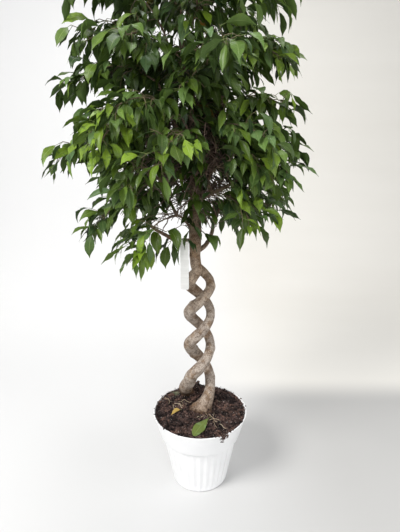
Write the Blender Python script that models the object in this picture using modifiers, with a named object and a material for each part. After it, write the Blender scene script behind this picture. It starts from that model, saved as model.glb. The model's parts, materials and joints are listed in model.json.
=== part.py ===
"""A weeping fig grown as a standard, in its pot.

Two stems are twisted round each other in an open spiral and carry a round, drooping head of
leafy sprays. They stand in soil, in a white plastic pot with upright ribs and a smooth collar.

Metres, +Z up. The origin is the centre of the pot's base, on the floor, and the front faces -Y.
"""

import math
import random
from dataclasses import dataclass, field

import bmesh
import bpy
from mathutils import Vector
from mathutils.bvhtree import BVHTree

OBJECT_NAME = "weeping_fig"
SEED = 64
GAP = 0.0003                     # clearance between pieces that touch
GOLDEN_ANGLE = math.pi * (3 - math.sqrt(5))

# Pot
POT_HEIGHT = 0.205
POT_FLOOR = 0.004
POT_WALL = 0.0035
BASE_RADIUS = 0.075
RIB_FOOT = 0.012                 # height where the ribs start
RIB_TOP = 0.134                  # height where they end, under the collar
RIB_TOP_RADIUS = 0.101
RIB_COUNT = 32
RIB_DEPTH = 0.0022
COLLAR_FOOT = 0.142
COLLAR_FOOT_RADIUS = 0.1085
RIM_RADIUS = 0.127
RIM_ROUNDING = 0.002
POT_INSIDE_SIDES = 24
NOTCH_ANGLE = math.radians(-62)  # compass place of the nick in the rim, at the front right
NOTCH_SIDE = 0.009

# Soil
SOIL_TOP = 0.200
SOIL_EDGE_RISE = 0.003           # the soil is higher than this where it meets the pot
SOIL_MOUND = 0.005               # and by this round the stems
STEM_DEPTH = 0.020               # how far the stems go down into it
HOLE_SIDES = 12
HOLE_PLAY = 0.0006               # round each stem

# Spiral stems: heights from here on are measured from SOIL_TOP
FRONT_HEIGHT = 0.2245            # height where stem_a passes in front
TURN_RATE = 5.41                 # turns per metre of height there
TURN_GAIN = 3.3                  # and how that rate grows with the height
LAST_TURN = 1.0                  # turns above FRONT_HEIGHT after which the stems go straight up
SLOW_BELOW = 0.087               # the stems turn more slowly under this height
SLOW_SHARE = 0.68
UPRIGHT_BELOW = 0.010            # and stand upright under this one
SPIRAL_TOP = 0.425               # height where the stems come together
SPIRAL_NARROWS = 0.345
FOOT_TOP = 0.080                 # height where the feet have become the spiral
FOOT_AXIS = (-0.0172, 0.0365)
SPIRAL_AXIS = (0.0, 0.035)
PRESSED_AXIS = (-0.0125, 0.035)
FOOT_REACH = 0.047               # from the axis to the middle of a stem, at the soil
SPIRAL_REACH = 0.028
PRESSED_REACH = 0.0142
FOOT_RADIUS = 0.0160
STEM_RADIUS = 0.0135
THICKER_LEFT = 0.14              # by this share stems are thicker in their left bends, thinner in the right
FLARES = (0.0120, 0.0062)        # extra radius where stem_a and stem_b meet the soil
FLARE_HEIGHT = 0.014
SPIRAL_STEPS = 26

# Stems above the spiral, as (x, y, height, radius)
LEADERS = {
    "stem_a": [(-0.0120, 0.0195, 0.46, 0.0152), (-0.0115, 0.018, 0.56, 0.0142),
               (-0.0115, 0.020, 0.66, 0.0116), (-0.018, 0.022, 0.76, 0.0088),
               (-0.032, 0.020, 0.86, 0.0062), (-0.045, 0.020, 0.94, 0.0040)],
    "stem_b": [(-0.0155, 0.0485, 0.455, 0.0122), (-0.013, 0.049, 0.51, 0.0108),
               (0.002, 0.052, 0.58, 0.0094), (0.024, 0.054, 0.65, 0.0080),
               (0.042, 0.054, 0.72, 0.0064), (0.054, 0.056, 0.81, 0.0046)],
}

# Limbs that can be seen in the gaps of the head: their stem, then (x, y, height, radius)
SEEN_LIMBS = [
    ("stem_a", [(-0.0125, 0.020, 0.456, 0.0062), (-0.025, 0.0100, 0.469, 0.0056),
                (-0.053, 0.0095, 0.469, 0.0055), (-0.085, 0.016, 0.483, 0.0046),
                (-0.122, 0.020, 0.506, 0.0038), (-0.142, 0.018, 0.545, 0.0030)]),
    ("stem_a", [(-0.0115, 0.019, 0.560, 0.0064), (0.022, 0.004, 0.585, 0.0052),
                (0.062, -0.014, 0.603, 0.0042), (0.100, -0.030, 0.630, 0.0030)]),
    ("stem_b", [(-0.0150, 0.0490, 0.430, 0.0060), (0.014, 0.045, 0.452, 0.0054),
                (0.030, 0.043, 0.484, 0.0050), (0.035, 0.041, 0.515, 0.0045),
                (0.056, 0.036, 0.560, 0.0038)]),
]

# Head of leaves
HEAD_CENTRE = Vector((-0.050, 0.020, SOIL_TOP + 0.69))
HEAD_RADIUS = 0.232              # to the ends of the twigs; the leaves reach further
HEAD_UP = 0.435
HEAD_DOWN = 0.225
SHOULDERS = 2.8                  # 2 would make the head an ellipsoid; more makes it fuller
RULED_SPRAYS = 48                # directions spread evenly over the head
OPEN_UNDER = -0.80               # no spray points further down than this
LEAST_SPACING = 0.088            # from one spray's end to the next
INNER_SPRAYS = 9
INNER_SHARE = 0.60
OPEN_MIDDLE = (-0.100, 0.075)    # from left to right, the head is open round the stems
OPEN_HEIGHT = 0.640              # up to this height above the soil

# Ends of the twigs that stand out at the edge of the head, as (x, y, height)
EDGE_SPRAYS = [
    (-0.250, -0.040, 0.985), (-0.236, -0.055, 0.905), (-0.264, -0.050, 0.825), (-0.238, -0.045, 0.745),
    (-0.292, -0.045, 0.668), (-0.208, -0.060, 0.515), (-0.142, -0.075, 0.460), (-0.160, -0.110, 0.880),
    (0.130, -0.060, 0.985), (0.160, -0.030, 0.870), (0.172, -0.050, 0.770), (0.168, -0.050, 0.700),
    (0.192, -0.040, 0.640), (0.145, -0.060, 0.545), (0.088, -0.110, 0.525),
]

# Twigs
TWIG_LENGTH = 0.178
SHORTEST_TWIG = 0.62             # share of that length, near the stems
TWIG_RADIUS = 0.0021             # where a spray leaves its limb
TWIG_END_RADIUS = 0.0010
TWIG_POINTS = 4
COLLAR_LENGTH = 0.010            # straight stretch on each side of that place
SIDE_TWIGS = 1
SIDE_TWIGS_FROM = (0.40, 0.60)   # where the first and the last leave, as shares of the main twig
SIDE_LENGTH = 0.062
SIDE_RADII = (0.0013, 0.0009)
LIMB_ROOM = 0.0034               # radius that is kept free for a limb
LIMB_LEAVES = 0.38               # share of a limb's span over which it keeps its first direction
LIMB_ARRIVES = 0.30              # share over which it takes its last one
NEAREST_NODES = 12               # places that are tried for a limb before its spray is left out
PATH_WEIGHT = 0.55               # how much a spray minds a long way down to the soil

# Leaves
BLADE_FROM = 0.2                 # share of a leaf's length where its blade starts
LEAF_LENGTH = (0.062, 0.081)     # petiole and blade together
LEAF_SLIMNESS = 0.36             # widest width over whole length
LEAF_THICKNESS = 0.0007
STATIONS = ((0.36, 0.92), (0.66, 0.70))  # (share of the length, share of the width)
LEAF_SPACING = 0.036             # along a twig
CLEARANCE = 0.0005               # each piece keeps this much round itself while the head is filled
DRAWS = 26                       # draws for one twig or leaf before it is left out
NEAR = 0.012                     # a leaf may not come nearer to its spray's root than this
CROSSING_KEPT = 0.12             # share kept of the leaves that can't help crossing their own spray

# Label
LABEL_WIDTH = 0.021
LABEL_LENGTH = 0.124
LABEL_THICKNESS = 0.0008
LABEL_X = -0.0385
LABEL_LOOP = 0.0068              # radius of its loop round the low left limb
LABEL_BEND = math.radians(292)   # how far the loop goes round
LABEL_BENDS = 14
LABEL_ROOM = 0.003               # kept free all round it

# Fallen leaves: where they lie on the soil, as (x, y), their width and how high they arch
GREEN_LEAF_FROM = (0.021, -0.051)
GREEN_LEAF_TO = (-0.0186, -0.1114)
GREEN_LEAF_WIDTH = 0.030
GREEN_LEAF_ARCH = 0.004
YELLOW_LEAF_FROM = (-0.055, -0.010)
YELLOW_LEAF_TO = (-0.078, -0.030)
YELLOW_LEAF_WIDTH = 0.015
YELLOW_LEAF_ARCH = 0.005
FALLEN_FOLD = 0.0025             # the edges of a fallen leaf are higher than its middle by this
FALLEN_OUTLINE = ((0.0, 0.03), (0.14, 0.05), (0.34, 0.45), (0.62, 0.49), (0.86, 0.21), (1.0, 0.03))

COLOURS = {
    "pot": ((0.86, 0.87, 0.88, 1), 0.45),
    "soil": ((0.045, 0.030, 0.022, 1), 0.95),
    "bark": ((0.30, 0.24, 0.19, 1), 0.85),
    "leaf": ((0.055, 0.155, 0.035, 1), 0.40),
    "fallen_green": ((0.16, 0.30, 0.06, 1), 0.50),
    "fallen_yellow": ((0.62, 0.42, 0.06, 1), 0.55),
    "label": ((0.90, 0.90, 0.88, 1), 0.50),
}


@dataclass
class Leaf:
    """One leaf: an arc that starts in its twig and bends down to its tip."""
    root: Vector
    heading: float
    rise: float
    droop: float
    roll: float
    length: float
    width: float


@dataclass
class Twig:
    """A tube with a radius at each point."""
    points: list
    radii: list


@dataclass
class Spray:
    """A leafy twig and the limb that carries it."""
    name: str
    root: Vector
    heading: float
    rise: float
    droop: float
    length: float
    stem: str = ""
    twigs: list = field(default_factory=list)
    leaves: list = field(default_factory=list)


@dataclass
class Node:
    """A place on a stem or limb from which a further limb can leave."""
    point: Vector
    along: Vector
    path: float
    stem: str
    limb: int


def smooth(share):
    """Ease from 0 to 1."""
    share = min(1.0, max(0.0, share))
    return share * share * (3 - 2 * share)


def mix(low, high, share):
    return low + (high - low) * share


def above_soil(x, y, height):
    return Vector((x, y, SOIL_TOP + height))


def horizontal(heading):
    return Vector((math.cos(heading), math.sin(heading), 0.0))


def arc_point(root, heading, rise, droop, length, share):
    """A point on an arc whose slope goes evenly from rise to droop."""
    slope = mix(rise, droop, share)
    bend = droop - rise
    ahead = (math.sin(slope) - math.sin(rise)) / bend
    up = (math.cos(rise) - math.cos(slope)) / bend
    return root + horizontal(heading) * (length * ahead) + Vector((0, 0, length * up))


def arc_tangent(heading, rise, droop, share):
    slope = mix(rise, droop, share)
    return horizontal(heading) * math.cos(slope) + Vector((0, 0, math.sin(slope)))


# Stems and limbs

def spiral_angle(half_turn, height):
    """Compass place of a stem in the spiral; half_turn is 0 for stem_a and 1 for stem_b."""
    free = max(height, UPRIGHT_BELOW)
    above = max(free, SLOW_BELOW) - FRONT_HEIGHT
    turns = TURN_RATE * above + TURN_GAIN * above ** 2
    turns += (TURN_RATE + 2 * TURN_GAIN * above) * min(free - SLOW_BELOW, 0.0) * SLOW_SHARE
    return math.radians(270) + min(turns, LAST_TURN) * 2 * math.pi + half_turn * math.pi


def spiral_point(half_turn, height):
    """Middle of a stem in the spiral."""
    angle = spiral_angle(half_turn, height)
    rooted = smooth(height / FOOT_TOP)
    pressed = smooth((height - SPIRAL_NARROWS) / (SPIRAL_TOP - SPIRAL_NARROWS))
    reach = mix(mix(FOOT_REACH, SPIRAL_REACH, rooted), PRESSED_REACH, pressed)
    axis_x = mix(mix(FOOT_AXIS[0], SPIRAL_AXIS[0], rooted), PRESSED_AXIS[0], pressed)
    axis_y = mix(mix(FOOT_AXIS[1], SPIRAL_AXIS[1], rooted), PRESSED_AXIS[1], pressed)
    return above_soil(axis_x + reach * math.cos(angle), axis_y + reach * math.sin(angle), height)


def spiral_radius(half_turn, height):
    flare = FLARES[half_turn] * math.exp(-max(height, 0.0) / FLARE_HEIGHT)
    free = smooth(height / 0.05) * smooth((SPIRAL_TOP - height) / 0.03)
    bend = 1 - THICKER_LEFT * free * math.cos(spiral_angle(half_turn, height))
    return mix(FOOT_RADIUS, STEM_RADIUS, smooth(height / 0.3)) * bend + flare


def stem_path(half_turn, leader):
    """The whole of one stem, from its foot in the soil to the end of its leader."""
    foot = spiral_point(half_turn, 0.0)
    points = [foot - Vector((0, 0, STEM_DEPTH)), foot + Vector((0, 0, SOIL_MOUND))]
    radii = [spiral_radius(half_turn, 0.0)] * 2
    for step in range(1, SPIRAL_STEPS + 1):
        height = SPIRAL_TOP * (step / SPIRAL_STEPS)
        points.append(spiral_point(half_turn, height))
        radii.append(spiral_radius(half_turn, height))
    for x, y, height, radius in leader:
        points.append(above_soil(x, y, height))
        radii.append(radius)
    return Twig(points, radii)


def path_nodes(points, stem, limb, path):
    """Nodes along a stem or limb after its first point; path is the way up to that point."""
    nodes = []
    for before, here in zip(points, points[1:]):
        path += (here - before).length
        nodes.append(Node(here, (here - before).normalized(), path, stem, limb))
    return nodes


def curved_limb(node, spray, lift):
    """A limb from a node to the root of a spray, leaving upwards and ending along the spray."""
    start = node.point
    along = arc_tangent(spray.heading, spray.rise, spray.droop, 0.0)
    end = spray.root - along * COLLAR_LENGTH
    span = (end - start).length
    leave = (node.along * 0.6 + (end - start).normalized() + Vector((0, 0, lift))).normalized()
    first = start + leave * (span * LIMB_LEAVES)
    second = end - along * (span * LIMB_ARRIVES)
    halfway = (start + first * 3 + second * 3 + end) / 8
    return [start, halfway, end, spray.root]


# Sprays

def spray_towards(name, tip, rng):
    """A spray whose twig ends at tip, drooping more the lower it is in the head."""
    out = tip - HEAD_CENTRE
    level = out.z / (HEAD_UP if out.z > 0 else HEAD_DOWN)
    away = tip - Vector((PRESSED_AXIS[0], PRESSED_AXIS[1], tip.z))
    heading = math.atan2(away.y, away.x) + rng.uniform(-0.25, 0.25)
    rise = math.radians(mix(8, 32, smooth(level + 1)) + 34 * max(level, 0.0) ** 2 + rng.uniform(-14, 14))
    droop = math.radians(mix(-72, -50, smooth(level + 1)) + 30 * max(level, 0.0) ** 2 + rng.uniform(-16, 16))
    length = TWIG_LENGTH * min(1.0, max(SHORTEST_TWIG, away.length / HEAD_RADIUS)) * rng.uniform(0.92, 1.10)
    offset = arc_point(Vector((0, 0, 0)), heading, rise, droop, length, 1.0)
    return Spray(name, tip - offset, heading, rise, droop, length)


def head_point(direction, share):
    """The point of the head's surface in a direction, or a share of the way to it."""
    lift = HEAD_UP if direction.z > 0 else HEAD_DOWN
    reach = Vector((direction.x * HEAD_RADIUS, direction.y * HEAD_RADIUS, direction.z * lift))
    return HEAD_CENTRE + reach * share


def is_open(tip):
    """True in the gap under the middle of the head, where only bare twigs stand round the stems."""
    return OPEN_MIDDLE[0] < tip.x < OPEN_MIDDLE[1] and tip.z < SOIL_TOP + OPEN_HEIGHT


def spray_tips(rng):
    """Where the twigs end: at the edges that show, then evenly over the head, then inside it."""
    tips = [above_soil(*place) for place in EDGE_SPRAYS]
    for count, share in ((RULED_SPRAYS, 1.0), (INNER_SPRAYS, INNER_SHARE)):
        for index in range(count):
            level = 1 - 2 * (index + 0.5) / count
            if level < OPEN_UNDER:
                continue
            flat = (1 - abs(level) ** SHOULDERS) ** (1 / SHOULDERS)
            angle = index * GOLDEN_ANGLE + 0.4
            direction = Vector((flat * math.cos(angle), flat * math.sin(angle), level))
            tip = head_point(direction, share * rng.uniform(0.93, 1.04))
            if not is_open(tip) and all((tip - other).length > LEAST_SPACING for other in tips):
                tips.append(tip)
    return tips


# Clearance between pieces

def prism(points, radii, grow):
    """A rough four-sided tube, as vertices and faces, for testing clearance."""
    vertices = []
    faces = []
    for index, point in enumerate(points):
        ahead = points[min(index + 1, len(points) - 1)] - points[max(index - 1, 0)]
        side = ahead.orthogonal().normalized()
        other = ahead.cross(side).normalized()
        reach = (radii[index] + grow) * math.sqrt(2)
        vertices += [point + side * reach, point + other * reach, point - side * reach, point - other * reach]
        if index:
            for corner in range(4):
                low = 4 * (index - 1)
                following = (corner + 1) % 4
                faces.append((low + corner, low + following, low + 4 + following, low + 4 + corner))
    return vertices, faces


class Room:
    """What is already in the head, so that nothing new crosses a piece of another node."""

    def __init__(self):
        self.pieces = []

    def add(self, owner, shape):
        vertices, faces = shape
        middle = sum(vertices, Vector()) / len(vertices)
        reach = max((vertex - middle).length for vertex in vertices)
        self.pieces.append((owner, BVHTree.FromPolygons(vertices, faces), middle, reach))

    def is_clear(self, shape, own=None):
        """True if the shape crosses no piece; pieces of the node called own don't count."""
        vertices, faces = shape
        middle = sum(vertices, Vector()) / len(vertices)
        reach = max((vertex - middle).length for vertex in vertices)
        tree = BVHTree.FromPolygons(vertices, faces)
        for owner, other, centre, size in self.pieces:
            if owner == own or (centre - middle).length > reach + size:
                continue
            if tree.overlap(other):
                return False
        return True


# Leaves

def leaf_frame(leaf, share):
    """Middle of the leaf at a share of its length, with its side and its upper normal."""
    middle = arc_point(leaf.root, leaf.heading, leaf.rise, leaf.droop, leaf.length, share)
    tangent = arc_tangent(leaf.heading, leaf.rise, leaf.droop, share)
    flat_side = horizontal(leaf.heading - math.pi / 2)
    flat_up = flat_side.cross(tangent)
    side = flat_side * math.cos(leaf.roll) + flat_up * math.sin(leaf.roll)
    return middle, side, side.cross(tangent)


def leaf_shape(leaf, grow=0.0):
    """The leaf as a thin closed solid: a root point, two stations and a tip point."""
    vertices = [leaf.root.copy()]
    half_thickness = LEAF_THICKNESS / 2 + grow
    for share, width in STATIONS:
        middle, side, up = leaf_frame(leaf, share)
        reach = leaf.width / 2 * width + grow
        for across in (-reach, reach):
            for lift in (half_thickness, -half_thickness):
                vertices.append(middle + side * across + up * lift)
    vertices.append(leaf_frame(leaf, 1.0)[0])
    faces = [(0, 3, 1), (0, 2, 4), (0, 1, 2), (0, 4, 3),
             (1, 3, 7), (1, 7, 5), (2, 8, 4), (2, 6, 8),
             (1, 5, 6), (1, 6, 2), (3, 4, 8), (3, 8, 7),
             (9, 5, 7), (9, 8, 6), (9, 6, 5), (9, 7, 8)]
    return vertices, faces


def drawn_leaf(root, heading, rng):
    length = rng.uniform(*LEAF_LENGTH)
    return Leaf(
        root=root,
        heading=heading,
        rise=math.radians(rng.uniform(-30, 28)),
        droop=math.radians(rng.uniform(-98, -50)),
        roll=math.radians(rng.uniform(-32, 32)),
        length=length,
        width=length * LEAF_SLIMNESS * rng.uniform(0.92, 1.10),
    )


def place_leaf(spray, root, heading, spread, room, rng):
    """Draws a leaf until it is clear; one that crosses only its own spray is the second choice."""
    spare = None
    for draw in range(DRAWS):
        widening = spread * (1 + draw / 10)
        leaf = drawn_leaf(root, heading + rng.uniform(-widening, widening), rng)
        shape = leaf_shape(leaf, CLEARANCE)
        if min((vertex - spray.root).length for vertex in shape[0][1:]) < NEAR:
            continue
        if not room.is_clear(shape, own=spray.name):
            continue
        blade = Leaf(leaf_frame(leaf, BLADE_FROM)[0], leaf.heading, mix(leaf.rise, leaf.droop, BLADE_FROM),
                     leaf.droop, leaf.roll, leaf.length * (1 - BLADE_FROM), leaf.width)
        if room.is_clear(leaf_shape(blade, CLEARANCE)):
            spray.leaves.append(leaf)
            room.add(spray.name, shape)
            return
        spare = spare or leaf
    if spare and rng.random() < CROSSING_KEPT:
        spray.leaves.append(spare)
        room.add(spray.name, leaf_shape(spare, CLEARANCE))


def leaf_the_twig(spray, twig, first, room, rng):
    """Alternate leaves along a twig, and one at its end."""
    length = sum((b - a).length for a, b in zip(twig.points, twig.points[1:]))
    count = max(1, round((length - first) / LEAF_SPACING))
    side = rng.choice((-1, 1))
    for index in range(count + 1):
        along = first + (length - first) * index / count
        root, heading = point_along(twig, min(along, length - 0.003))
        side = -side
        turn = 0.0 if index == count else side * rng.uniform(0.7, 1.35)
        place_leaf(spray, root, heading + turn, 0.30, room, rng)


def point_along(twig, distance):
    """The point at a distance along a twig, and the compass heading there."""
    for before, after in zip(twig.points, twig.points[1:]):
        step = (after - before).length
        if distance <= step:
            ahead = after - before
            return before + ahead * (distance / step), math.atan2(ahead.y, ahead.x)
        distance -= step
    return twig.points[-1].copy(), math.atan2(ahead.y, ahead.x)


# Growth of the whole head

def grow_main_twig(spray, room, rng):
    """The spray's own twig, from just beyond its limb; it bends aside where it would cross."""
    for draw in range(DRAWS):
        bend = rng.uniform(-1, 1) * (0.4 + draw / DRAWS)
        along = arc_tangent(spray.heading, spray.rise, spray.droop, 0.0)
        points = [spray.root + along * GAP, spray.root + along * COLLAR_LENGTH]
        for step in range(1, TWIG_POINTS):
            share = step / (TWIG_POINTS - 1)
            heading = spray.heading + bend * share
            points.append(arc_point(points[1], heading, spray.rise, spray.droop, spray.length, share))
        radii = [mix(TWIG_RADIUS, TWIG_END_RADIUS, index / TWIG_POINTS) for index in range(TWIG_POINTS + 1)]
        shape = prism(points, radii, CLEARANCE)
        if room.is_clear(shape):
            spray.twigs.append(Twig(points, radii))
            return shape
    return None


def grow_side_twigs(spray, room, rng):
    """Shorter twigs on alternate sides of the main one."""
    main = spray.twigs[0]
    side = rng.choice((-1, 1))
    for index in range(SIDE_TWIGS):
        distance = spray.length * mix(*SIDE_TWIGS_FROM, index / max(1, SIDE_TWIGS - 1)) + COLLAR_LENGTH
        root, heading = point_along(main, distance)
        side = -side
        for _ in range(DRAWS):
            turned = heading + side * rng.uniform(0.65, 1.15)
            rise = math.radians(rng.uniform(0, 50))
            droop = math.radians(rng.uniform(-65, -15))
            length = SIDE_LENGTH * rng.uniform(0.8, 1.25)
            twig = Twig([root, arc_point(root, turned, rise, droop, length, 1.0)], list(SIDE_RADII))
            shape = prism(twig.points, twig.radii, CLEARANCE)
            if room.is_clear(shape, own=spray.name):
                spray.twigs.append(twig)
                room.add(spray.name, shape)
                break


def grow_skeleton(room):
    """Stems, limbs and bare sprays. Gives the tubes of each stem and the sprays."""
    rng = random.Random(SEED)
    tubes = {}
    nodes = []
    limbs = []
    for half_turn, stem in enumerate(LEADERS):
        path = stem_path(half_turn, LEADERS[stem])
        tubes[stem] = [path]
        room.add(stem, prism(path.points, path.radii, CLEARANCE))
        nodes += path_nodes(path.points[-len(LEADERS[stem]) - 1:], stem, None, SPIRAL_TOP)
    for stem, places in SEEN_LIMBS:
        path = Twig([above_soil(x, y, height) for x, y, height, _ in places], [place[3] for place in places])
        tubes[stem].append(path)
        room.add(stem, prism(path.points, path.radii, CLEARANCE))
        nodes += path_nodes(path.points, stem, None, places[0][2])

    sprays = [spray_towards(f"spray_{index + 1:02d}", tip, rng) for index, tip in enumerate(spray_tips(rng))]
    sprays.sort(key=lambda spray: (spray.root.xy - Vector(PRESSED_AXIS)).length)
    carried = []
    for spray in sprays:
        twig_shape = grow_main_twig(spray, room, rng)
        if twig_shape and carry(spray, twig_shape, nodes, limbs, room, rng):
            room.add(spray.name, twig_shape)
            carried.append(spray)
    for limb in limbs:
        limb["tube"].radii = limb_radii(limb)
        tubes[limb["stem"]].append(limb["tube"])
    return tubes, carried


def carry(spray, twig_shape, nodes, limbs, room, rng):
    """Joins a spray to the stems by the limb with the shortest clear way down to the soil."""
    twig = BVHTree.FromPolygons(*twig_shape)

    def cost(node):
        reach = spray.root - node.point
        downward = max(0.0, -reach.normalized().z)
        return reach.length * (1 + 1.5 * downward) + node.path * PATH_WEIGHT

    for node in sorted(nodes, key=cost)[:NEAREST_NODES]:
        for _ in range(6):
            points = curved_limb(node, spray, rng.uniform(0.1, 0.7))
            radii = [LIMB_ROOM] * (len(points) - 1) + [TWIG_RADIUS]
            shape = prism(points, radii, CLEARANCE)
            bare = BVHTree.FromPolygons(*prism(points[:-1], radii[:-1], CLEARANCE))
            if bare.overlap(twig) or not room.is_clear(shape, own=node.stem):
                continue
            spray.stem = node.stem
            limbs.append({"stem": node.stem, "tube": Twig(points, radii), "parent": node.limb, "load": 1})
            parent = node.limb
            while parent is not None:
                limbs[parent]["load"] += 1
                parent = limbs[parent]["parent"]
            room.add(node.stem, shape)
            nodes += path_nodes(points[:-1], node.stem, len(limbs) - 1, node.path)
            return True
    return False


def limb_radii(limb):
    """A limb is thicker at its start, the more sprays it carries."""
    start = TWIG_RADIUS * (1.0 + 0.42 * math.sqrt(limb["load"]))
    last = len(limb["tube"].points) - 1
    return [mix(start, TWIG_RADIUS, min(1.0, index / (last - 1))) for index in range(last + 1)]


def grow_tree():
    """The stems' tubes and the sprays with all their twigs and leaves."""
    room = Room()
    room.add("label", label_room())
    tubes, sprays = grow_skeleton(room)
    for spray in sprays:
        rng = random.Random(f"{SEED} {spray.name}")
        grow_side_twigs(spray, room, rng)
    for spray in sprays:
        rng = random.Random(f"{SEED} leaves {spray.name}")
        leaf_the_twig(spray, spray.twigs[0], spray.length * 0.26, room, rng)
        for twig in spray.twigs[1:]:
            leaf_the_twig(spray, twig, 0.022, room, rng)
    return tubes, sprays


# Blender objects

def clear_scene():
    for thing in list(bpy.data.objects):
        bpy.data.objects.remove(thing, do_unlink=True)


def new_collection(name):
    collection = bpy.data.collections.new(name)
    bpy.context.scene.collection.children.link(collection)
    return collection


def make_materials():
    materials = {}
    for name, (colour, roughness) in COLOURS.items():
        material = bpy.data.materials.new(name)
        material.use_nodes = True
        shader = material.node_tree.nodes["Principled BSDF"]
        shader.inputs["Base Color"].default_value = colour
        shader.inputs["Roughness"].default_value = roughness
        shader.inputs["Metallic"].default_value = 0.0
        material.diffuse_color = colour
        materials[name] = material
    return materials


def new_object(name, mesh, collection):
    thing = bpy.data.objects.new(name, mesh)
    collection.objects.link(thing)
    return thing


def mesh_from_shape(name, vertices, faces):
    mesh = bpy.data.meshes.new(name)
    mesh.from_pydata([tuple(vertex) for vertex in vertices], [], faces)
    shell = bmesh.new()
    shell.from_mesh(mesh)
    bmesh.ops.recalc_face_normals(shell, faces=shell.faces)
    shell.to_mesh(mesh)
    shell.free()
    return mesh


def evaluated_mesh(thing):
    bpy.context.view_layer.update()
    graph = bpy.context.evaluated_depsgraph_get()
    return bpy.data.meshes.new_from_object(thing.evaluated_get(graph), depsgraph=graph)


def tube_object(name, twig, collection, resolution):
    """A tapering tube with filled, welded ends, as a mesh object."""
    curve = bpy.data.curves.new(name, "CURVE")
    curve.dimensions = "3D"
    curve.bevel_depth = 1.0
    curve.bevel_resolution = resolution
    curve.use_fill_caps = True
    spline = curve.splines.new("POLY")
    spline.points.add(len(twig.points) - 1)
    for point, place, radius in zip(spline.points, twig.points, twig.radii):
        point.co = (*place, 1.0)
        point.radius = radius
    guide = new_object(name + "_path", curve, collection)
    mesh = evaluated_mesh(guide)
    bpy.data.objects.remove(guide, do_unlink=True)
    shell = bmesh.new()
    shell.from_mesh(mesh)
    bmesh.ops.remove_doubles(shell, verts=shell.verts, dist=0.00001)
    bmesh.ops.recalc_face_normals(shell, faces=shell.faces)
    shell.to_mesh(mesh)
    shell.free()
    return new_object(name, mesh, collection)


def turned_object(name, profile, steps, collection):
    """A turned solid, from a profile in (radius, height) that starts and ends on the axis."""
    mesh = bpy.data.meshes.new(name)
    edges = [(index, index + 1) for index in range(len(profile) - 1)]
    mesh.from_pydata([(radius, 0.0, height) for radius, height in profile], edges, [])
    thing = new_object(name, mesh, collection)
    screw = thing.modifiers.new("turn", "SCREW")
    screw.axis = "Z"
    screw.steps = steps
    screw.render_steps = steps
    screw.use_merge_vertices = True
    screw.merge_threshold = 0.00001
    thing.data = evaluated_mesh(thing)
    thing.modifiers.clear()
    return thing


def is_one_body(mesh):
    """True if the mesh is closed and all in one piece."""
    shell = bmesh.new()
    shell.from_mesh(mesh)
    closed = bool(shell.verts) and all(edge.is_manifold for edge in shell.edges)
    if closed:
        seen = {shell.verts[:][0]}
        waiting = list(seen)
        while waiting:
            vertex = waiting.pop()
            for edge in vertex.link_edges:
                other = edge.other_vert(vertex)
                if other not in seen:
                    seen.add(other)
                    waiting.append(other)
        closed = len(seen) == len(shell.verts)
    shell.free()
    return closed


def fuse(base, pieces, cutters):
    """Joins the pieces to the base in one Boolean union, and removes them."""
    group = bpy.data.collections.new(base.name + "_pieces")
    cutters.children.link(group)
    for piece in pieces:
        group.objects.link(piece)
        cutters.objects.unlink(piece)
    for solver in ("EXACT", "MANIFOLD"):
        joint = base.modifiers.new("fuse", "BOOLEAN")
        joint.operation = "UNION"
        joint.operand_type = "COLLECTION"
        joint.collection = group
        joint.solver = solver
        joined = evaluated_mesh(base)
        base.modifiers.remove(joint)
        if is_one_body(joined):
            break
    base.data = joined
    for piece in pieces:
        bpy.data.objects.remove(piece, do_unlink=True)
    bpy.data.collections.remove(group)
    return base


def finish_object(thing, material, sharp_degrees=40):
    thing.data.materials.clear()
    thing.data.materials.append(material)
    thing.data.shade_smooth()
    thing.data.set_sharp_from_angle(angle=math.radians(sharp_degrees))


# Pot and soil

def pot_inside_radius(height):
    """Radius of the pot's inner wall."""
    if height < RIB_TOP:
        return mix(BASE_RADIUS, RIB_TOP_RADIUS, height / RIB_TOP) - POT_WALL - RIB_DEPTH / 2
    share = (height - RIB_TOP) / (POT_HEIGHT - RIB_TOP)
    return mix(RIB_TOP_RADIUS - RIB_DEPTH / 2, RIM_RADIUS, share) - POT_WALL


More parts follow.
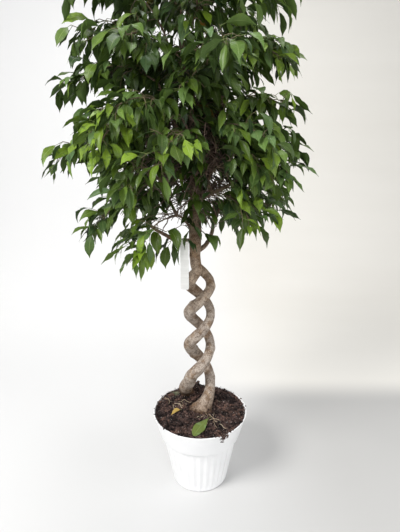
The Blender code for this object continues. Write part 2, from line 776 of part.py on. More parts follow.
def make_pot(parts, cutters, material):
    """The shell: a turned body whose ribbed stretch is drawn in between the ribs, hollowed out."""
    outside = [
        (0.0, POT_HEIGHT),
        (RIM_RADIUS - RIM_ROUNDING, POT_HEIGHT),
        (RIM_RADIUS, POT_HEIGHT - RIM_ROUNDING),
        (COLLAR_FOOT_RADIUS, COLLAR_FOOT),
        (RIB_TOP_RADIUS, RIB_TOP),
        (mix(BASE_RADIUS, RIB_TOP_RADIUS, RIB_FOOT / RIB_TOP), RIB_FOOT),
        (BASE_RADIUS, 0.002),
        (BASE_RADIUS - 0.002, 0.0),
        (0.0, 0.0),
    ]
    pot = turned_object("pot", outside, 2 * RIB_COUNT, parts)
    for vertex in pot.data.vertices:
        column = round(math.atan2(vertex.co.y, vertex.co.x) * RIB_COUNT / math.pi)
        if column % 2 and min(abs(vertex.co.z - RIB_TOP), abs(vertex.co.z - RIB_FOOT)) < 0.001:
            drawn_in = 1 - RIB_DEPTH / vertex.co.xy.length
            vertex.co.x *= drawn_in
            vertex.co.y *= drawn_in

    above = POT_HEIGHT + 0.01
    inside = [
        (0.0, above),
        (pot_inside_radius(POT_HEIGHT), above),
        (pot_inside_radius(POT_HEIGHT), POT_HEIGHT),
        (pot_inside_radius(RIB_TOP), RIB_TOP),
        (pot_inside_radius(POT_FLOOR), POT_FLOOR),
        (0.0, POT_FLOOR),
    ]
    hollow = turned_object("pot_hollow", inside, POT_INSIDE_SIDES, cutters)
    cut_away(pot, hollow)
    bpy.ops.mesh.primitive_cube_add(size=NOTCH_SIDE)
    notch = bpy.context.active_object
    move_to(notch, cutters)
    notch.scale = (2.0, 1.0, 1.0)
    notch.rotation_euler = (math.radians(45), 0.0, NOTCH_ANGLE)
    notch.location = horizontal(NOTCH_ANGLE) * RIM_RADIUS + Vector((0, 0, POT_HEIGHT))
    cut_away(pot, notch)
    finish_object(pot, material)
    return pot


def move_to(thing, collection):
    for holder in list(thing.users_collection):
        holder.objects.unlink(thing)
    collection.objects.link(thing)


def cut_away(thing, cutter):
    """Subtracts the cutter and removes it."""
    cutter.hide_render = True
    cutter.display_type = "WIRE"
    cut = thing.modifiers.new("cut", "BOOLEAN")
    cut.operation = "DIFFERENCE"
    cut.object = cutter
    thing.data = evaluated_mesh(thing)
    thing.modifiers.clear()
    bpy.data.objects.remove(cutter, do_unlink=True)


def soil_height(radius):
    """Height of the soil's surface: a low mound that falls towards the pot."""
    share = radius / pot_inside_radius(SOIL_TOP)
    return SOIL_TOP + mix(SOIL_MOUND, SOIL_EDGE_RISE, smooth(share))


def make_soil(parts, cutters, material):
    """The soil fills the pot, with a plain hole for each stem."""
    side_gap = GAP * 1.1
    edge = pot_inside_radius(SOIL_TOP + SOIL_EDGE_RISE) - side_gap
    profile = [(radius, soil_height(radius)) for radius in (0.0, edge * 0.35, edge * 0.7)]
    profile += [
        (edge, SOIL_TOP + SOIL_EDGE_RISE),
        (pot_inside_radius(RIB_TOP) - side_gap, RIB_TOP),
        (pot_inside_radius(POT_FLOOR) - side_gap, POT_FLOOR + GAP),
        (0.0, POT_FLOOR + GAP),
    ]
    soil = turned_object("soil", profile, POT_INSIDE_SIDES, parts)
    for half_turn in (0, 1):
        foot = spiral_point(half_turn, 0.0)
        bottom = SOIL_TOP - STEM_DEPTH - GAP
        top = SOIL_TOP + 0.03
        bpy.ops.mesh.primitive_cylinder_add(
            vertices=HOLE_SIDES,
            radius=(spiral_radius(half_turn, 0.0) + HOLE_PLAY) / math.cos(math.pi / HOLE_SIDES),
            depth=top - bottom,
            location=(foot.x, foot.y, (top + bottom) / 2),
        )
        hole = bpy.context.active_object
        move_to(hole, cutters)
        cut_away(soil, hole)
    finish_object(soil, material, 60)
    return soil


# Stems, sprays, label and fallen leaves

def make_stem(name, tubes, parts, cutters, material):
    """One stem with all its limbs, grown together."""
    trunk = tube_object(name, tubes[0], parts, 2)
    limbs = [tube_object(f"{name}_limb", tube, cutters, 0) for tube in tubes[1:]]
    fuse(trunk, limbs, cutters)
    finish_object(trunk, material, 50)
    return trunk


def make_spray(spray, parts, cutters, material):
    """One leafy spray: its twigs and leaves, grown together."""
    main = tube_object(spray.name, spray.twigs[0], parts, 0)
    pieces = [tube_object(f"{spray.name}_twig", twig, cutters, 0) for twig in spray.twigs[1:]]
    for leaf in spray.leaves:
        mesh = mesh_from_shape(f"{spray.name}_leaf", *leaf_shape(leaf))
        pieces.append(new_object(f"{spray.name}_leaf", mesh, cutters))
    fuse(main, pieces, cutters)
    finish_object(main, material, 30)
    return main


def label_hanger():
    """The point of the low left limb where the label's loop goes round it."""
    places = SEEN_LIMBS[0][1]
    for before, after in zip(places, places[1:]):
        if after[0] <= LABEL_X <= before[0]:
            share = (LABEL_X - before[0]) / (after[0] - before[0])
            return above_soil(LABEL_X, mix(before[1], after[1], share), mix(before[2], after[2], share))
    return above_soil(LABEL_X, places[1][1], places[1][2])


def label_room():
    """The space that the hanging label takes up, as vertices and faces."""
    top = label_hanger()
    front = top.y - LABEL_LOOP - LABEL_ROOM
    back = top.y + LABEL_LOOP + LABEL_ROOM
    low = top.z - LABEL_LENGTH - LABEL_ROOM
    high = top.z + LABEL_LOOP + LABEL_ROOM
    half = LABEL_WIDTH / 2 + LABEL_ROOM / 3
    corners = [Vector((LABEL_X + x, y, z)) for x in (-half, half) for y in (front, back) for z in (low, high)]
    faces = [(0, 1, 3, 2), (4, 6, 7, 5), (0, 4, 5, 1), (2, 3, 7, 6), (0, 2, 6, 4), (1, 5, 7, 3)]
    return corners, faces


def make_label(parts, material):
    """A blank strip that goes round the low left limb and hangs down in front of it."""
    centre = label_hanger()
    front = -LABEL_LOOP
    foot = -LABEL_LENGTH
    bends = range(LABEL_BENDS + 1)
    outline = []
    for radius, order in ((LABEL_LOOP, bends), (LABEL_LOOP - LABEL_THICKNESS, reversed(bends))):
        for step in order:
            angle = math.pi - LABEL_BEND * step / LABEL_BENDS
            outline.append((radius * math.cos(angle), radius * math.sin(angle)))
    outline += [(front + LABEL_THICKNESS, foot), (front, foot)]
    curve = bpy.data.curves.new("label", "CURVE")
    curve.dimensions = "2D"
    curve.fill_mode = "BOTH"
    curve.extrude = LABEL_WIDTH / 2
    spline = curve.splines.new("POLY")
    spline.points.add(len(outline) - 1)
    spline.use_cyclic_u = True
    for point, (across, up) in zip(spline.points, outline):
        point.co = (across, up, 0.0, 1.0)
    guide = new_object("label_outline", curve, parts)
    guide.rotation_euler = (math.pi / 2, 0.0, math.pi / 2)
    guide.location = centre
    mesh = evaluated_mesh(guide)
    mesh.transform(guide.matrix_world)
    bpy.data.objects.remove(guide, do_unlink=True)
    shell = bmesh.new()
    shell.from_mesh(mesh)
    bmesh.ops.remove_doubles(shell, verts=shell.verts, dist=0.00001)
    bmesh.ops.recalc_face_normals(shell, faces=shell.faces)
    shell.to_mesh(mesh)
    shell.free()
    label = new_object("label", mesh, parts)
    finish_object(label, material)
    return label


def make_fallen_leaf(name, start, end, width, arch, soil, parts, material):
    """A leaf lying on the soil, a little arched and folded, lowered until it almost touches."""
    foot = Vector((*start, 0.0))
    ahead = Vector((*end, 0.0)) - foot
    side = Vector((-ahead.y, ahead.x, 0.0)).normalized()
    vertices = []
    for share, half in FALLEN_OUTLINE:
        middle = foot + ahead * share + Vector((0, 0, arch * math.sin(math.pi * share)))
        for across in (-1, 0, 1):
            fold = Vector((0, 0, FALLEN_FOLD * abs(across)))
            vertices.append(middle + side * (across * half * width) + fold)
    faces = []
    for row in range(len(FALLEN_OUTLINE) - 1):
        for column in (0, 1):
            low = 3 * row + column
            high = low + 3
            faces += [(low, low + 1, high + 1), (low, high + 1, high)]
    leaf = new_object(name, mesh_from_shape(name, vertices, faces), parts)
    thicken = leaf.modifiers.new("thickness", "SOLIDIFY")
    thicken.thickness = LEAF_THICKNESS
    thicken.offset = 0.0
    leaf.data = evaluated_mesh(leaf)
    leaf.modifiers.clear()
    seat_on_soil(leaf, soil)
    finish_object(leaf, material)
    return leaf


def seat_on_soil(thing, soil):
    """Sets the thing down so that its lowest clearance to the soil is the usual gap."""
    corners = [vertex.co for vertex in soil.data.vertices]
    ground = BVHTree.FromPolygons(corners, [face.vertices for face in soil.data.polygons])
    samples = [vertex.co for vertex in thing.data.vertices]
    for edge in thing.data.edges:
        first, second = (thing.data.vertices[index].co for index in edge.vertices)
        samples = samples + [first.lerp(second, share) for share in (0.25, 0.5, 0.75)]
    least = 1.0
    for sample in samples:
        hit = ground.ray_cast(Vector((sample.x, sample.y, 1.0)), Vector((0, 0, -1)))[0]
        least = min(least, sample.z - hit.z)
    for vertex in thing.data.vertices:
        vertex.co.z += GAP - least


def main():
    clear_scene()
    parts = new_collection(OBJECT_NAME)
    cutters = new_collection(OBJECT_NAME + "_cutters")
    materials = make_materials()
    tubes, sprays = grow_tree()
    make_pot(parts, cutters, materials["pot"])
    soil = make_soil(parts, cutters, materials["soil"])
    for stem in tubes:
        make_stem(stem, tubes[stem], parts, cutters, materials["bark"])
    for spray in sprays:
        make_spray(spray, parts, cutters, materials["leaf"])
    make_label(parts, materials["label"])
    make_fallen_leaf("fallen_leaf_green", GREEN_LEAF_FROM, GREEN_LEAF_TO, GREEN_LEAF_WIDTH,
                     GREEN_LEAF_ARCH, soil, parts, materials["fallen_green"])
    make_fallen_leaf("fallen_leaf_yellow", YELLOW_LEAF_FROM, YELLOW_LEAF_TO, YELLOW_LEAF_WIDTH,
                     YELLOW_LEAF_ARCH, soil, parts, materials["fallen_yellow"])


main()
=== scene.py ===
"""Looks of the weeping fig in its pot.

The leafy sprays are grown again by the same seeded rule as the solids, so that each fine spray grows
where its solid does. Each then gets more twigs and leaves, and the stems, soil, pot and label get their
surfaces. Metres, +Z up, the origin at the centre of the pot's base, the front towards -Y.
"""

import json
import math
import random
from dataclasses import dataclass, field

import bpy
import numpy as np
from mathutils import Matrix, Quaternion, Vector, noise
from mathutils.bvhtree import BVHTree

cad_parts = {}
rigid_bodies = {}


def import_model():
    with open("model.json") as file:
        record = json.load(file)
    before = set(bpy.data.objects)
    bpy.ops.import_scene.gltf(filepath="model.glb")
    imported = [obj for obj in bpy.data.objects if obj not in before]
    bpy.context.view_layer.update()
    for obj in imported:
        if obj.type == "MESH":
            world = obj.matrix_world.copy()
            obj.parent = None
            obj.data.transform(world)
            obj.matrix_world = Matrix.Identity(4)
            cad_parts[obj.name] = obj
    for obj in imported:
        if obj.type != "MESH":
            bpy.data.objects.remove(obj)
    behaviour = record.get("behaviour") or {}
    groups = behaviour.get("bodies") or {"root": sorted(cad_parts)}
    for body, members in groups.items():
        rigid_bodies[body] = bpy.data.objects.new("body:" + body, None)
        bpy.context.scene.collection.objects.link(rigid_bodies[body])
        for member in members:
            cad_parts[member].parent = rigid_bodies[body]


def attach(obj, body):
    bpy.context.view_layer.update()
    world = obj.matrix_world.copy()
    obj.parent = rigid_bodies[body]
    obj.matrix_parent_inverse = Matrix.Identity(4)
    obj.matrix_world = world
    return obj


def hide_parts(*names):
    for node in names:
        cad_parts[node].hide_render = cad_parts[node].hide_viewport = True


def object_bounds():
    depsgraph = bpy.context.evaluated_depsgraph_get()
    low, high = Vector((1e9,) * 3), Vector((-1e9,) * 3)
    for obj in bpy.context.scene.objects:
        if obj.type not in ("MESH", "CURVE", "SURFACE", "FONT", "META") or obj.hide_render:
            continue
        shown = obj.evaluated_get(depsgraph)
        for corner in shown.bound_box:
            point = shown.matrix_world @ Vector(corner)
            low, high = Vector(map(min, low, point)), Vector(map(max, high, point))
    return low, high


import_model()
cad_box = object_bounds()

SEED = 64
GAP = 0.0003                     # clearance between pieces that touch
TURN = 2 * math.pi
GOLDEN_ANGLE = math.pi * (3 - math.sqrt(5))

# Pot
POT_HEIGHT = 0.205
POT_FLOOR = 0.004
POT_WALL = 0.0035
BASE_RADIUS = 0.075
RIB_FOOT = 0.012                 # height where the ribs start
RIB_TOP = 0.134                  # height where they end, under the collar
RIB_TOP_RADIUS = 0.101
RIB_COUNT = 32
RIB_DEPTH = 0.0022
COLLAR_FOOT = 0.142
COLLAR_FOOT_RADIUS = 0.1085
RIM_RADIUS = 0.127
NOTCH_ANGLE = math.radians(-62)  # compass place of the nick in the rim, at the front right

# Soil
SOIL_TOP = 0.200
SOIL_EDGE_RISE = 0.003           # the soil is higher than this where it meets the pot
SOIL_MOUND = 0.005               # and by this round the stems
STEM_DEPTH = 0.020               # how far the stems go down into it

# Spiral stems; from here on heights are measured from SOIL_TOP where nothing else is said
FRONT_HEIGHT = 0.2245            # height where stem_a passes in front
TURN_RATE = 5.41                 # turns per metre of height there
TURN_GAIN = 3.3                  # and how that rate grows with the height
LAST_TURN = 1.0                  # turns above FRONT_HEIGHT after which the stems go straight up
SLOW_BELOW = 0.087               # the stems turn more slowly under this height
SLOW_SHARE = 0.68
UPRIGHT_BELOW = 0.010            # and stand upright under this one
SPIRAL_TOP = 0.425               # height where the stems come together
SPIRAL_NARROWS = 0.345
FOOT_TOP = 0.080                 # height where the feet have become the spiral
FOOT_AXIS = (-0.0172, 0.0365)
SPIRAL_AXIS = (0.0, 0.035)
PRESSED_AXIS = (-0.0125, 0.035)
FOOT_REACH = 0.047               # from the axis to the middle of a stem, at the soil
SPIRAL_REACH = 0.028
PRESSED_REACH = 0.0142
FOOT_RADIUS = 0.0160
STEM_RADIUS = 0.0135
THICKER_LEFT = 0.14              # by this share stems are thicker in their left bends, thinner in the right
FLARES = (0.0120, 0.0062)        # extra radius where stem_a and stem_b meet the soil
FLARE_HEIGHT = 0.014
SPIRAL_STEPS = 26

# Stems above the spiral, as (x, y, height, radius)
LEADERS = {
    "stem_a": [(-0.0120, 0.0195, 0.46, 0.0152), (-0.0115, 0.018, 0.56, 0.0142),
               (-0.0115, 0.020, 0.66, 0.0116), (-0.018, 0.022, 0.76, 0.0088),
               (-0.032, 0.020, 0.86, 0.0062), (-0.045, 0.020, 0.94, 0.0040)],
    "stem_b": [(-0.0155, 0.0485, 0.455, 0.0122), (-0.013, 0.049, 0.51, 0.0108),
               (0.002, 0.052, 0.58, 0.0094), (0.024, 0.054, 0.65, 0.0080),
               (0.042, 0.054, 0.72, 0.0064), (0.054, 0.056, 0.81, 0.0046)],
}

# Limbs that can be seen in the gaps of the head: their stem, then (x, y, height, radius)
SEEN_LIMBS = [
    ("stem_a", [(-0.0125, 0.020, 0.456, 0.0062), (-0.025, 0.0100, 0.469, 0.0056),
                (-0.053, 0.0095, 0.469, 0.0055), (-0.085, 0.016, 0.483, 0.0046),
                (-0.122, 0.020, 0.506, 0.0038), (-0.142, 0.018, 0.545, 0.0030)]),
    ("stem_a", [(-0.0115, 0.019, 0.560, 0.0064), (0.022, 0.004, 0.585, 0.0052),
                (0.062, -0.014, 0.603, 0.0042), (0.100, -0.030, 0.630, 0.0030)]),
    ("stem_b", [(-0.0150, 0.0490, 0.430, 0.0060), (0.014, 0.045, 0.452, 0.0054),
                (0.030, 0.043, 0.484, 0.0050), (0.035, 0.041, 0.515, 0.0045),
                (0.056, 0.036, 0.560, 0.0038)]),
]

# Head of leaves
HEAD_CENTRE = Vector((-0.050, 0.020, SOIL_TOP + 0.69))
HEAD_RADIUS = 0.232              # to the ends of the twigs; the leaves reach further
HEAD_UP = 0.435
HEAD_DOWN = 0.225
SHOULDERS = 2.8                  # 2 would make the head an ellipsoid; more makes it fuller
RULED_SPRAYS = 48                # directions spread evenly over the head
OPEN_UNDER = -0.80               # no spray points further down than this
LEAST_SPACING = 0.088            # from one spray's end to the next
FIRST_ANGLE = 0.4                # compass place of the first of them
TIP_SHARES = (0.93, 1.04)        # how near to the head's surface they end
INNER_SPRAYS = 9
INNER_SHARE = 0.60
OPEN_MIDDLE = (-0.100, 0.075)    # from left to right, the head is open round the stems
OPEN_HEIGHT = 0.640              # up to this height above the soil

# Ends of the twigs that stand out at the edge of the head, as (x, y, height)
EDGE_SPRAYS = [
    (-0.250, -0.040, 0.985), (-0.236, -0.055, 0.905), (-0.264, -0.050, 0.825), (-0.238, -0.045, 0.745),
    (-0.292, -0.045, 0.668), (-0.208, -0.060, 0.515), (-0.142, -0.075, 0.460), (-0.160, -0.110, 0.880),
    (0.130, -0.060, 0.985), (0.160, -0.030, 0.870), (0.172, -0.050, 0.770), (0.168, -0.050, 0.700),
    (0.192, -0.040, 0.640), (0.145, -0.060, 0.545), (0.088, -0.110, 0.525),
]

# Rise and droop of a spray, in degrees: at the bottom of the head, in its middle, what is added
# towards its top, and by how much they vary
SPRAY_SLOPES = ((8, 32, 34, 14), (-72, -50, 30, 16))
SPRAY_TURN = 0.25                # how far its heading turns from straight outwards

# Twigs
TWIG_LENGTH = 0.178
SHORTEST_TWIG = 0.62             # share of that length, near the stems
TWIG_LENGTHS = (0.92, 1.10)      # by which that length varies
TWIG_RADIUS = 0.0021             # where a spray leaves its limb
TWIG_END_RADIUS = 0.0010
TWIG_POINTS = 4
TWIG_BEND = 0.4                  # how far it can bend aside at first; each further draw allows more
COLLAR_LENGTH = 0.010            # straight stretch on each side of that place
SIDE_TWIG_FROM = 0.40            # where the side twig leaves, as a share of the main twig
SIDE_LENGTH = 0.062
SIDE_SLOPES = ((0, 50), (-65, -15))  # its rise and droop, in degrees
SIDE_TURN = (0.65, 1.15)         # how far it turns off the main one
SIDE_RADII = (0.0013, 0.0009)
LIMB_ROOM = 0.0034               # radius that is kept free for a limb
LIMB_FOLLOWS = 0.6               # how much it first follows what it grows from
LIMB_LEAVES = 0.38               # share of a limb's span over which it keeps its first direction
LIMB_ARRIVES = 0.30              # share over which it takes its last one
LIMB_LIFT = (0.1, 0.7)           # how much it leaves upwards
LIMB_DRAWS = 6
LIMB_GROWTH = 0.42               # how much thicker it is for the sprays that it carries
NEAREST_NODES = 12               # places that are tried for a limb before its spray is left out
PATH_WEIGHT = 0.55               # how much a spray minds a long way down to the soil
DOWNWARD_WEIGHT = 1.5            # and a limb that hangs down

# Leaves
BLADE_FROM = 0.2                 # share of a leaf's length where its blade starts
LEAF_LENGTH = (0.062, 0.081)     # petiole and blade together
LEAF_SLIMNESS = 0.36             # widest width over whole length
LEAF_WIDTHS = (0.92, 1.10)       # by which that width varies
LEAF_SLOPES = ((-30, 28), (-98, -50), (-32, 32))  # their rise, droop and roll, in degrees
LEAF_THICKNESS = 0.0007
STATIONS = ((0.36, 0.92), (0.66, 0.70))  # (share of the length, share of the width)
LEAF_SPACING = 0.036             # along a twig
LEAF_OFF_TWIG = (0.7, 1.35)      # how far leaves turn off their twig
LEAF_SPREAD = 0.30               # by which that varies, at the first draw
LEAVES_FROM = (0.26, 0.022)      # where they start: a share of the main twig, a distance on the side twig
CLEARANCE = 0.0005               # each piece keeps this much round itself while the head is filled
DRAWS = 26                       # draws for one twig or leaf before it is left out
NEAR = 0.012                     # a leaf may not come nearer to its spray's root than this
CROSSING_KEPT = 0.12             # share kept of the leaves that can't help crossing their own spray

# Label
LABEL_WIDTH = 0.021
LABEL_LENGTH = 0.124
LABEL_X = -0.0385
LABEL_LOOP = 0.0068              # radius of its loop round the low left limb
LABEL_BEND = math.radians(292)   # how far the loop goes round
LABEL_ROOM = 0.003               # kept free all round it

# Fallen leaves: where they lie on the soil, as (x, y), and their width
GREEN_LEAF_FROM = (0.021, -0.051)
GREEN_LEAF_TO = (-0.0186, -0.1114)
GREEN_LEAF_WIDTH = 0.030
YELLOW_LEAF_FROM = (-0.055, -0.010)
YELLOW_LEAF_TO = (-0.078, -0.030)
YELLOW_LEAF_WIDTH = 0.015


def smooth(share):
    """Ease from 0 to 1."""
    share = min(1.0, max(0.0, share))
    return share * share * (3 - 2 * share)


def mix(low, high, share):
    return low + (high - low) * share


def above_soil(x, y, height):
    return Vector((x, y, SOIL_TOP + height))


def upwards(height):
    return Vector((0, 0, height))


def horizontal(heading):
    return Vector((math.cos(heading), math.sin(heading), 0.0))


def slopes_drawn(rng, *ranges):
    """Slopes, each between two that are given in degrees."""
    return [math.radians(rng.uniform(*degrees)) for degrees in ranges]


@dataclass
class Arc:
    """A line from root that bends evenly from the slope rise to the slope droop."""
    root: Vector
    heading: float
    rise: float
    droop: float
    length: float

    def point(self, share):
        slope = mix(self.rise, self.droop, share)
        bend = self.droop - self.rise
        ahead = (math.sin(slope) - math.sin(self.rise)) / bend
        up = (math.cos(self.rise) - math.cos(slope)) / bend
        return self.root + horizontal(self.heading) * (self.length * ahead) + upwards(self.length * up)

    def tangent(self, share):
        slope = mix(self.rise, self.droop, share)
        return horizontal(self.heading) * math.cos(slope) + upwards(math.sin(slope))


@dataclass
class Leaf(Arc):
    """One leaf, from its twig to its tip."""
    roll: float
    width: float

    def frame(self, share):
        """Middle of the leaf at a share of its length, with its side and its upper normal."""
        tangent = self.tangent(share)
        flat_side = horizontal(self.heading - math.pi / 2)
        flat_up = flat_side.cross(tangent)
        side = flat_side * math.cos(self.roll) + flat_up * math.sin(self.roll)
        return self.point(share), side, side.cross(tangent)


@dataclass
class Twig:
    """A tube with a radius at each point."""
    points: list
    radii: list

    def length(self):
        return sum((after - before).length for before, after in zip(self.points, self.points[1:]))

    def at(self, distance):
        """The point at a distance along the twig, and the compass heading there."""
        for before, after in zip(self.points, self.points[1:]):
            ahead = after - before
            if distance <= ahead.length:
                return before + ahead * (distance / ahead.length), math.atan2(ahead.y, ahead.x)
            distance -= ahead.length
        return self.points[-1].copy(), math.atan2(ahead.y, ahead.x)


@dataclass
class Spray(Arc):
    """A leafy twig."""
    name: str
    twigs: list = field(default_factory=list)
    leaves: list = field(default_factory=list)


@dataclass
class Node:
    """A place on a stem or limb from which a further limb can leave."""
    point: Vector
    along: Vector
    path: float
    stem: str
    limb: int


# Stems and limbs

def spiral_angle(half_turn, height):
    """Compass place of a stem in the spiral; half_turn is 0 for stem_a and 1 for stem_b."""
    free = max(height, UPRIGHT_BELOW)
    above = max(free, SLOW_BELOW) - FRONT_HEIGHT
    turns = TURN_RATE * above + TURN_GAIN * above ** 2
    turns += (TURN_RATE + 2 * TURN_GAIN * above) * min(free - SLOW_BELOW, 0.0) * SLOW_SHARE
    return math.radians(270) + min(turns, LAST_TURN) * TURN + half_turn * math.pi


def spiral_point(half_turn, height):
    """Middle of a stem in the spiral."""
    angle = spiral_angle(half_turn, height)
    rooted = smooth(height / FOOT_TOP)
    pressed = smooth((height - SPIRAL_NARROWS) / (SPIRAL_TOP - SPIRAL_NARROWS))
    reach = mix(mix(FOOT_REACH, SPIRAL_REACH, rooted), PRESSED_REACH, pressed)
    x, y = [mix(mix(foot, spiral, rooted), top, pressed)
            for foot, spiral, top in zip(FOOT_AXIS, SPIRAL_AXIS, PRESSED_AXIS)]
    return above_soil(x + reach * math.cos(angle), y + reach * math.sin(angle), height)


def spiral_radius(half_turn, height):
    flare = FLARES[half_turn] * math.exp(-max(height, 0.0) / FLARE_HEIGHT)
    free = smooth(height / 0.05) * smooth((SPIRAL_TOP - height) / 0.03)
    bend = 1 - THICKER_LEFT * free * math.cos(spiral_angle(half_turn, height))
    return mix(FOOT_RADIUS, STEM_RADIUS, smooth(height / 0.3)) * bend + flare


def stem_path(half_turn, leader):
    """The whole of one stem, from its foot in the soil to the end of its leader."""
    foot = spiral_point(half_turn, 0.0)
    points = [foot - upwards(STEM_DEPTH), foot + upwards(SOIL_MOUND)]
    radii = [spiral_radius(half_turn, 0.0)] * 2
    for step in range(1, SPIRAL_STEPS + 1):
        height = SPIRAL_TOP * (step / SPIRAL_STEPS)
        points.append(spiral_point(half_turn, height))
        radii.append(spiral_radius(half_turn, height))
    for x, y, height, radius in leader:
        points.append(above_soil(x, y, height))
        radii.append(radius)
    return Twig(points, radii)


def path_nodes(points, stem, limb, path):
    """Nodes along a stem or limb after its first point; path is the way up to that point."""
    nodes = []
    for before, here in zip(points, points[1:]):
        path += (here - before).length
        nodes.append(Node(here, (here - before).normalized(), path, stem, limb))
    return nodes


def curved_limb(node, spray, lift):
    """A limb from a node to the root of a spray, leaving upwards and ending along the spray."""
    start = node.point
    along = spray.tangent(0.0)
    end = spray.root - along * COLLAR_LENGTH
    span = (end - start).length
    leave = (node.along * LIMB_FOLLOWS + (end - start).normalized() + upwards(lift)).normalized()
    first = start + leave * (span * LIMB_LEAVES)
    second = end - along * (span * LIMB_ARRIVES)
    halfway = (start + first * 3 + second * 3 + end) / 8
    return [start, halfway, end, spray.root]


# Sprays

def spray_towards(name, tip, rng):
    """A spray whose twig ends at tip, drooping more the lower it is in the head."""
    out = tip - HEAD_CENTRE
    level = out.z / (HEAD_UP if out.z > 0 else HEAD_DOWN)
    top = max(level, 0.0) ** 2
    away = tip - Vector((*PRESSED_AXIS, tip.z))
    heading = math.atan2(away.y, away.x) + rng.uniform(-SPRAY_TURN, SPRAY_TURN)
    slopes = []
    for low, middle, more, spread in SPRAY_SLOPES:
        slope = mix(low, middle, smooth(level + 1)) + more * top + rng.uniform(-spread, spread)
        slopes.append(math.radians(slope))
    length = TWIG_LENGTH * min(1.0, max(SHORTEST_TWIG, away.length / HEAD_RADIUS))
    length *= rng.uniform(*TWIG_LENGTHS)
    spray = Spray(Vector((0, 0, 0)), heading, *slopes, length, name)
    spray.root = tip - spray.point(1.0)
    return spray


def head_point(direction, share):
    """The point of the head's surface in a direction, or a share of the way to it."""
    lift = HEAD_UP if direction.z > 0 else HEAD_DOWN
    reach = Vector((direction.x * HEAD_RADIUS, direction.y * HEAD_RADIUS, direction.z * lift))
    return HEAD_CENTRE + reach * share


def is_open(tip):
    """True in the gap under the middle of the head, where only bare twigs stand round the stems."""
    return OPEN_MIDDLE[0] < tip.x < OPEN_MIDDLE[1] and tip.z < SOIL_TOP + OPEN_HEIGHT


def spray_tips(rng):
    """Where the twigs end: at the edges that show, then evenly over the head, then inside it."""
    tips = [above_soil(*place) for place in EDGE_SPRAYS]
    for count, share in ((RULED_SPRAYS, 1.0), (INNER_SPRAYS, INNER_SHARE)):
        for index in range(count):
            level = 1 - 2 * (index + 0.5) / count
            if level < OPEN_UNDER:
                continue
            flat = (1 - abs(level) ** SHOULDERS) ** (1 / SHOULDERS)
            angle = index * GOLDEN_ANGLE + FIRST_ANGLE
            direction = Vector((flat * math.cos(angle), flat * math.sin(angle), level))
            tip = head_point(direction, share * rng.uniform(*TIP_SHARES))
            if not is_open(tip) and all((tip - other).length > LEAST_SPACING for other in tips):
                tips.append(tip)
    return tips


# Clearance between pieces

def prism(points, radii, grow):
    """A rough four-sided tube, as vertices and faces, for testing clearance."""
    vertices = []
    faces = []
    for index, point in enumerate(points):
        ahead = points[min(index + 1, len(points) - 1)] - points[max(index - 1, 0)]
        side = ahead.orthogonal().normalized()
        other = ahead.cross(side).normalized()
        reach = (radii[index] + grow) * math.sqrt(2)
        for across in (side * reach, other * reach, -side * reach, -other * reach):
            vertices.append(point + across)
        low = 4 * (index - 1)
        for corner in range(4 if index else 0):
            following = (corner + 1) % 4
            faces.append((low + corner, low + following, low + 4 + following, low + 4 + corner))
    return vertices, faces


def middle_and_reach(vertices):
    middle = sum(vertices, Vector()) / len(vertices)
    return middle, max((vertex - middle).length for vertex in vertices)


class Room:
    """What is already in the head, so that nothing new crosses a piece of another node."""

    def __init__(self):
        self.pieces = []

    def add(self, owner, shape):
        self.pieces.append((owner, BVHTree.FromPolygons(*shape), *middle_and_reach(shape[0])))

    def is_clear(self, shape, own=None):
        """True if the shape crosses no piece; pieces of the node called own don't count."""
        middle, reach = middle_and_reach(shape[0])
        tree = BVHTree.FromPolygons(*shape)
        for owner, other, centre, size in self.pieces:
            if owner == own or (centre - middle).length > reach + size:
                continue
            if tree.overlap(other):
                return False
        return True


# Leaves

def leaf_shape(leaf, grow=0.0):
    """The leaf as a thin closed solid: a root point, two stations and a tip point."""
    vertices = [leaf.root.copy()]
    half_thickness = LEAF_THICKNESS / 2 + grow
    for share, width in STATIONS:
        middle, side, up = leaf.frame(share)
        reach = leaf.width / 2 * width + grow
        for across in (-reach, reach):
            for lift in (half_thickness, -half_thickness):
                vertices.append(middle + side * across + up * lift)
    vertices.append(leaf.point(1.0))
    faces = [(0, 3, 1), (0, 2, 4), (0, 1, 2), (0, 4, 3),
             (1, 3, 7), (1, 7, 5), (2, 8, 4), (2, 6, 8),
             (1, 5, 6), (1, 6, 2), (3, 4, 8), (3, 8, 7),
             (9, 5, 7), (9, 8, 6), (9, 6, 5), (9, 7, 8)]
    return vertices, faces


def drawn_leaf(root, heading, rng):
    length = rng.uniform(*LEAF_LENGTH)
    rise, droop, roll = slopes_drawn(rng, *LEAF_SLOPES)
    width = length * LEAF_SLIMNESS * rng.uniform(*LEAF_WIDTHS)
    return Leaf(root, heading, rise, droop, length, roll, width)


def place_leaf(spray, root, heading, room, rng):
    """Draws a leaf until it is clear; one that crosses only its own spray is the second choice."""
    spare = None
    for draw in range(DRAWS):
        widening = LEAF_SPREAD * (1 + draw / 10)
        leaf = drawn_leaf(root, heading + rng.uniform(-widening, widening), rng)
        shape = leaf_shape(leaf, CLEARANCE)
        if min((vertex - spray.root).length for vertex in shape[0][1:]) < NEAR:
            continue
        if not room.is_clear(shape, own=spray.name):
            continue
        slope = mix(leaf.rise, leaf.droop, BLADE_FROM)
        blade = Leaf(leaf.point(BLADE_FROM), leaf.heading, slope, leaf.droop,
                     leaf.length * (1 - BLADE_FROM), leaf.roll, leaf.width)
        if room.is_clear(leaf_shape(blade, CLEARANCE)):
            spray.leaves.append(leaf)
            room.add(spray.name, shape)
            return
        spare = spare or leaf
    if spare and rng.random() < CROSSING_KEPT:
        spray.leaves.append(spare)
        room.add(spray.name, leaf_shape(spare, CLEARANCE))


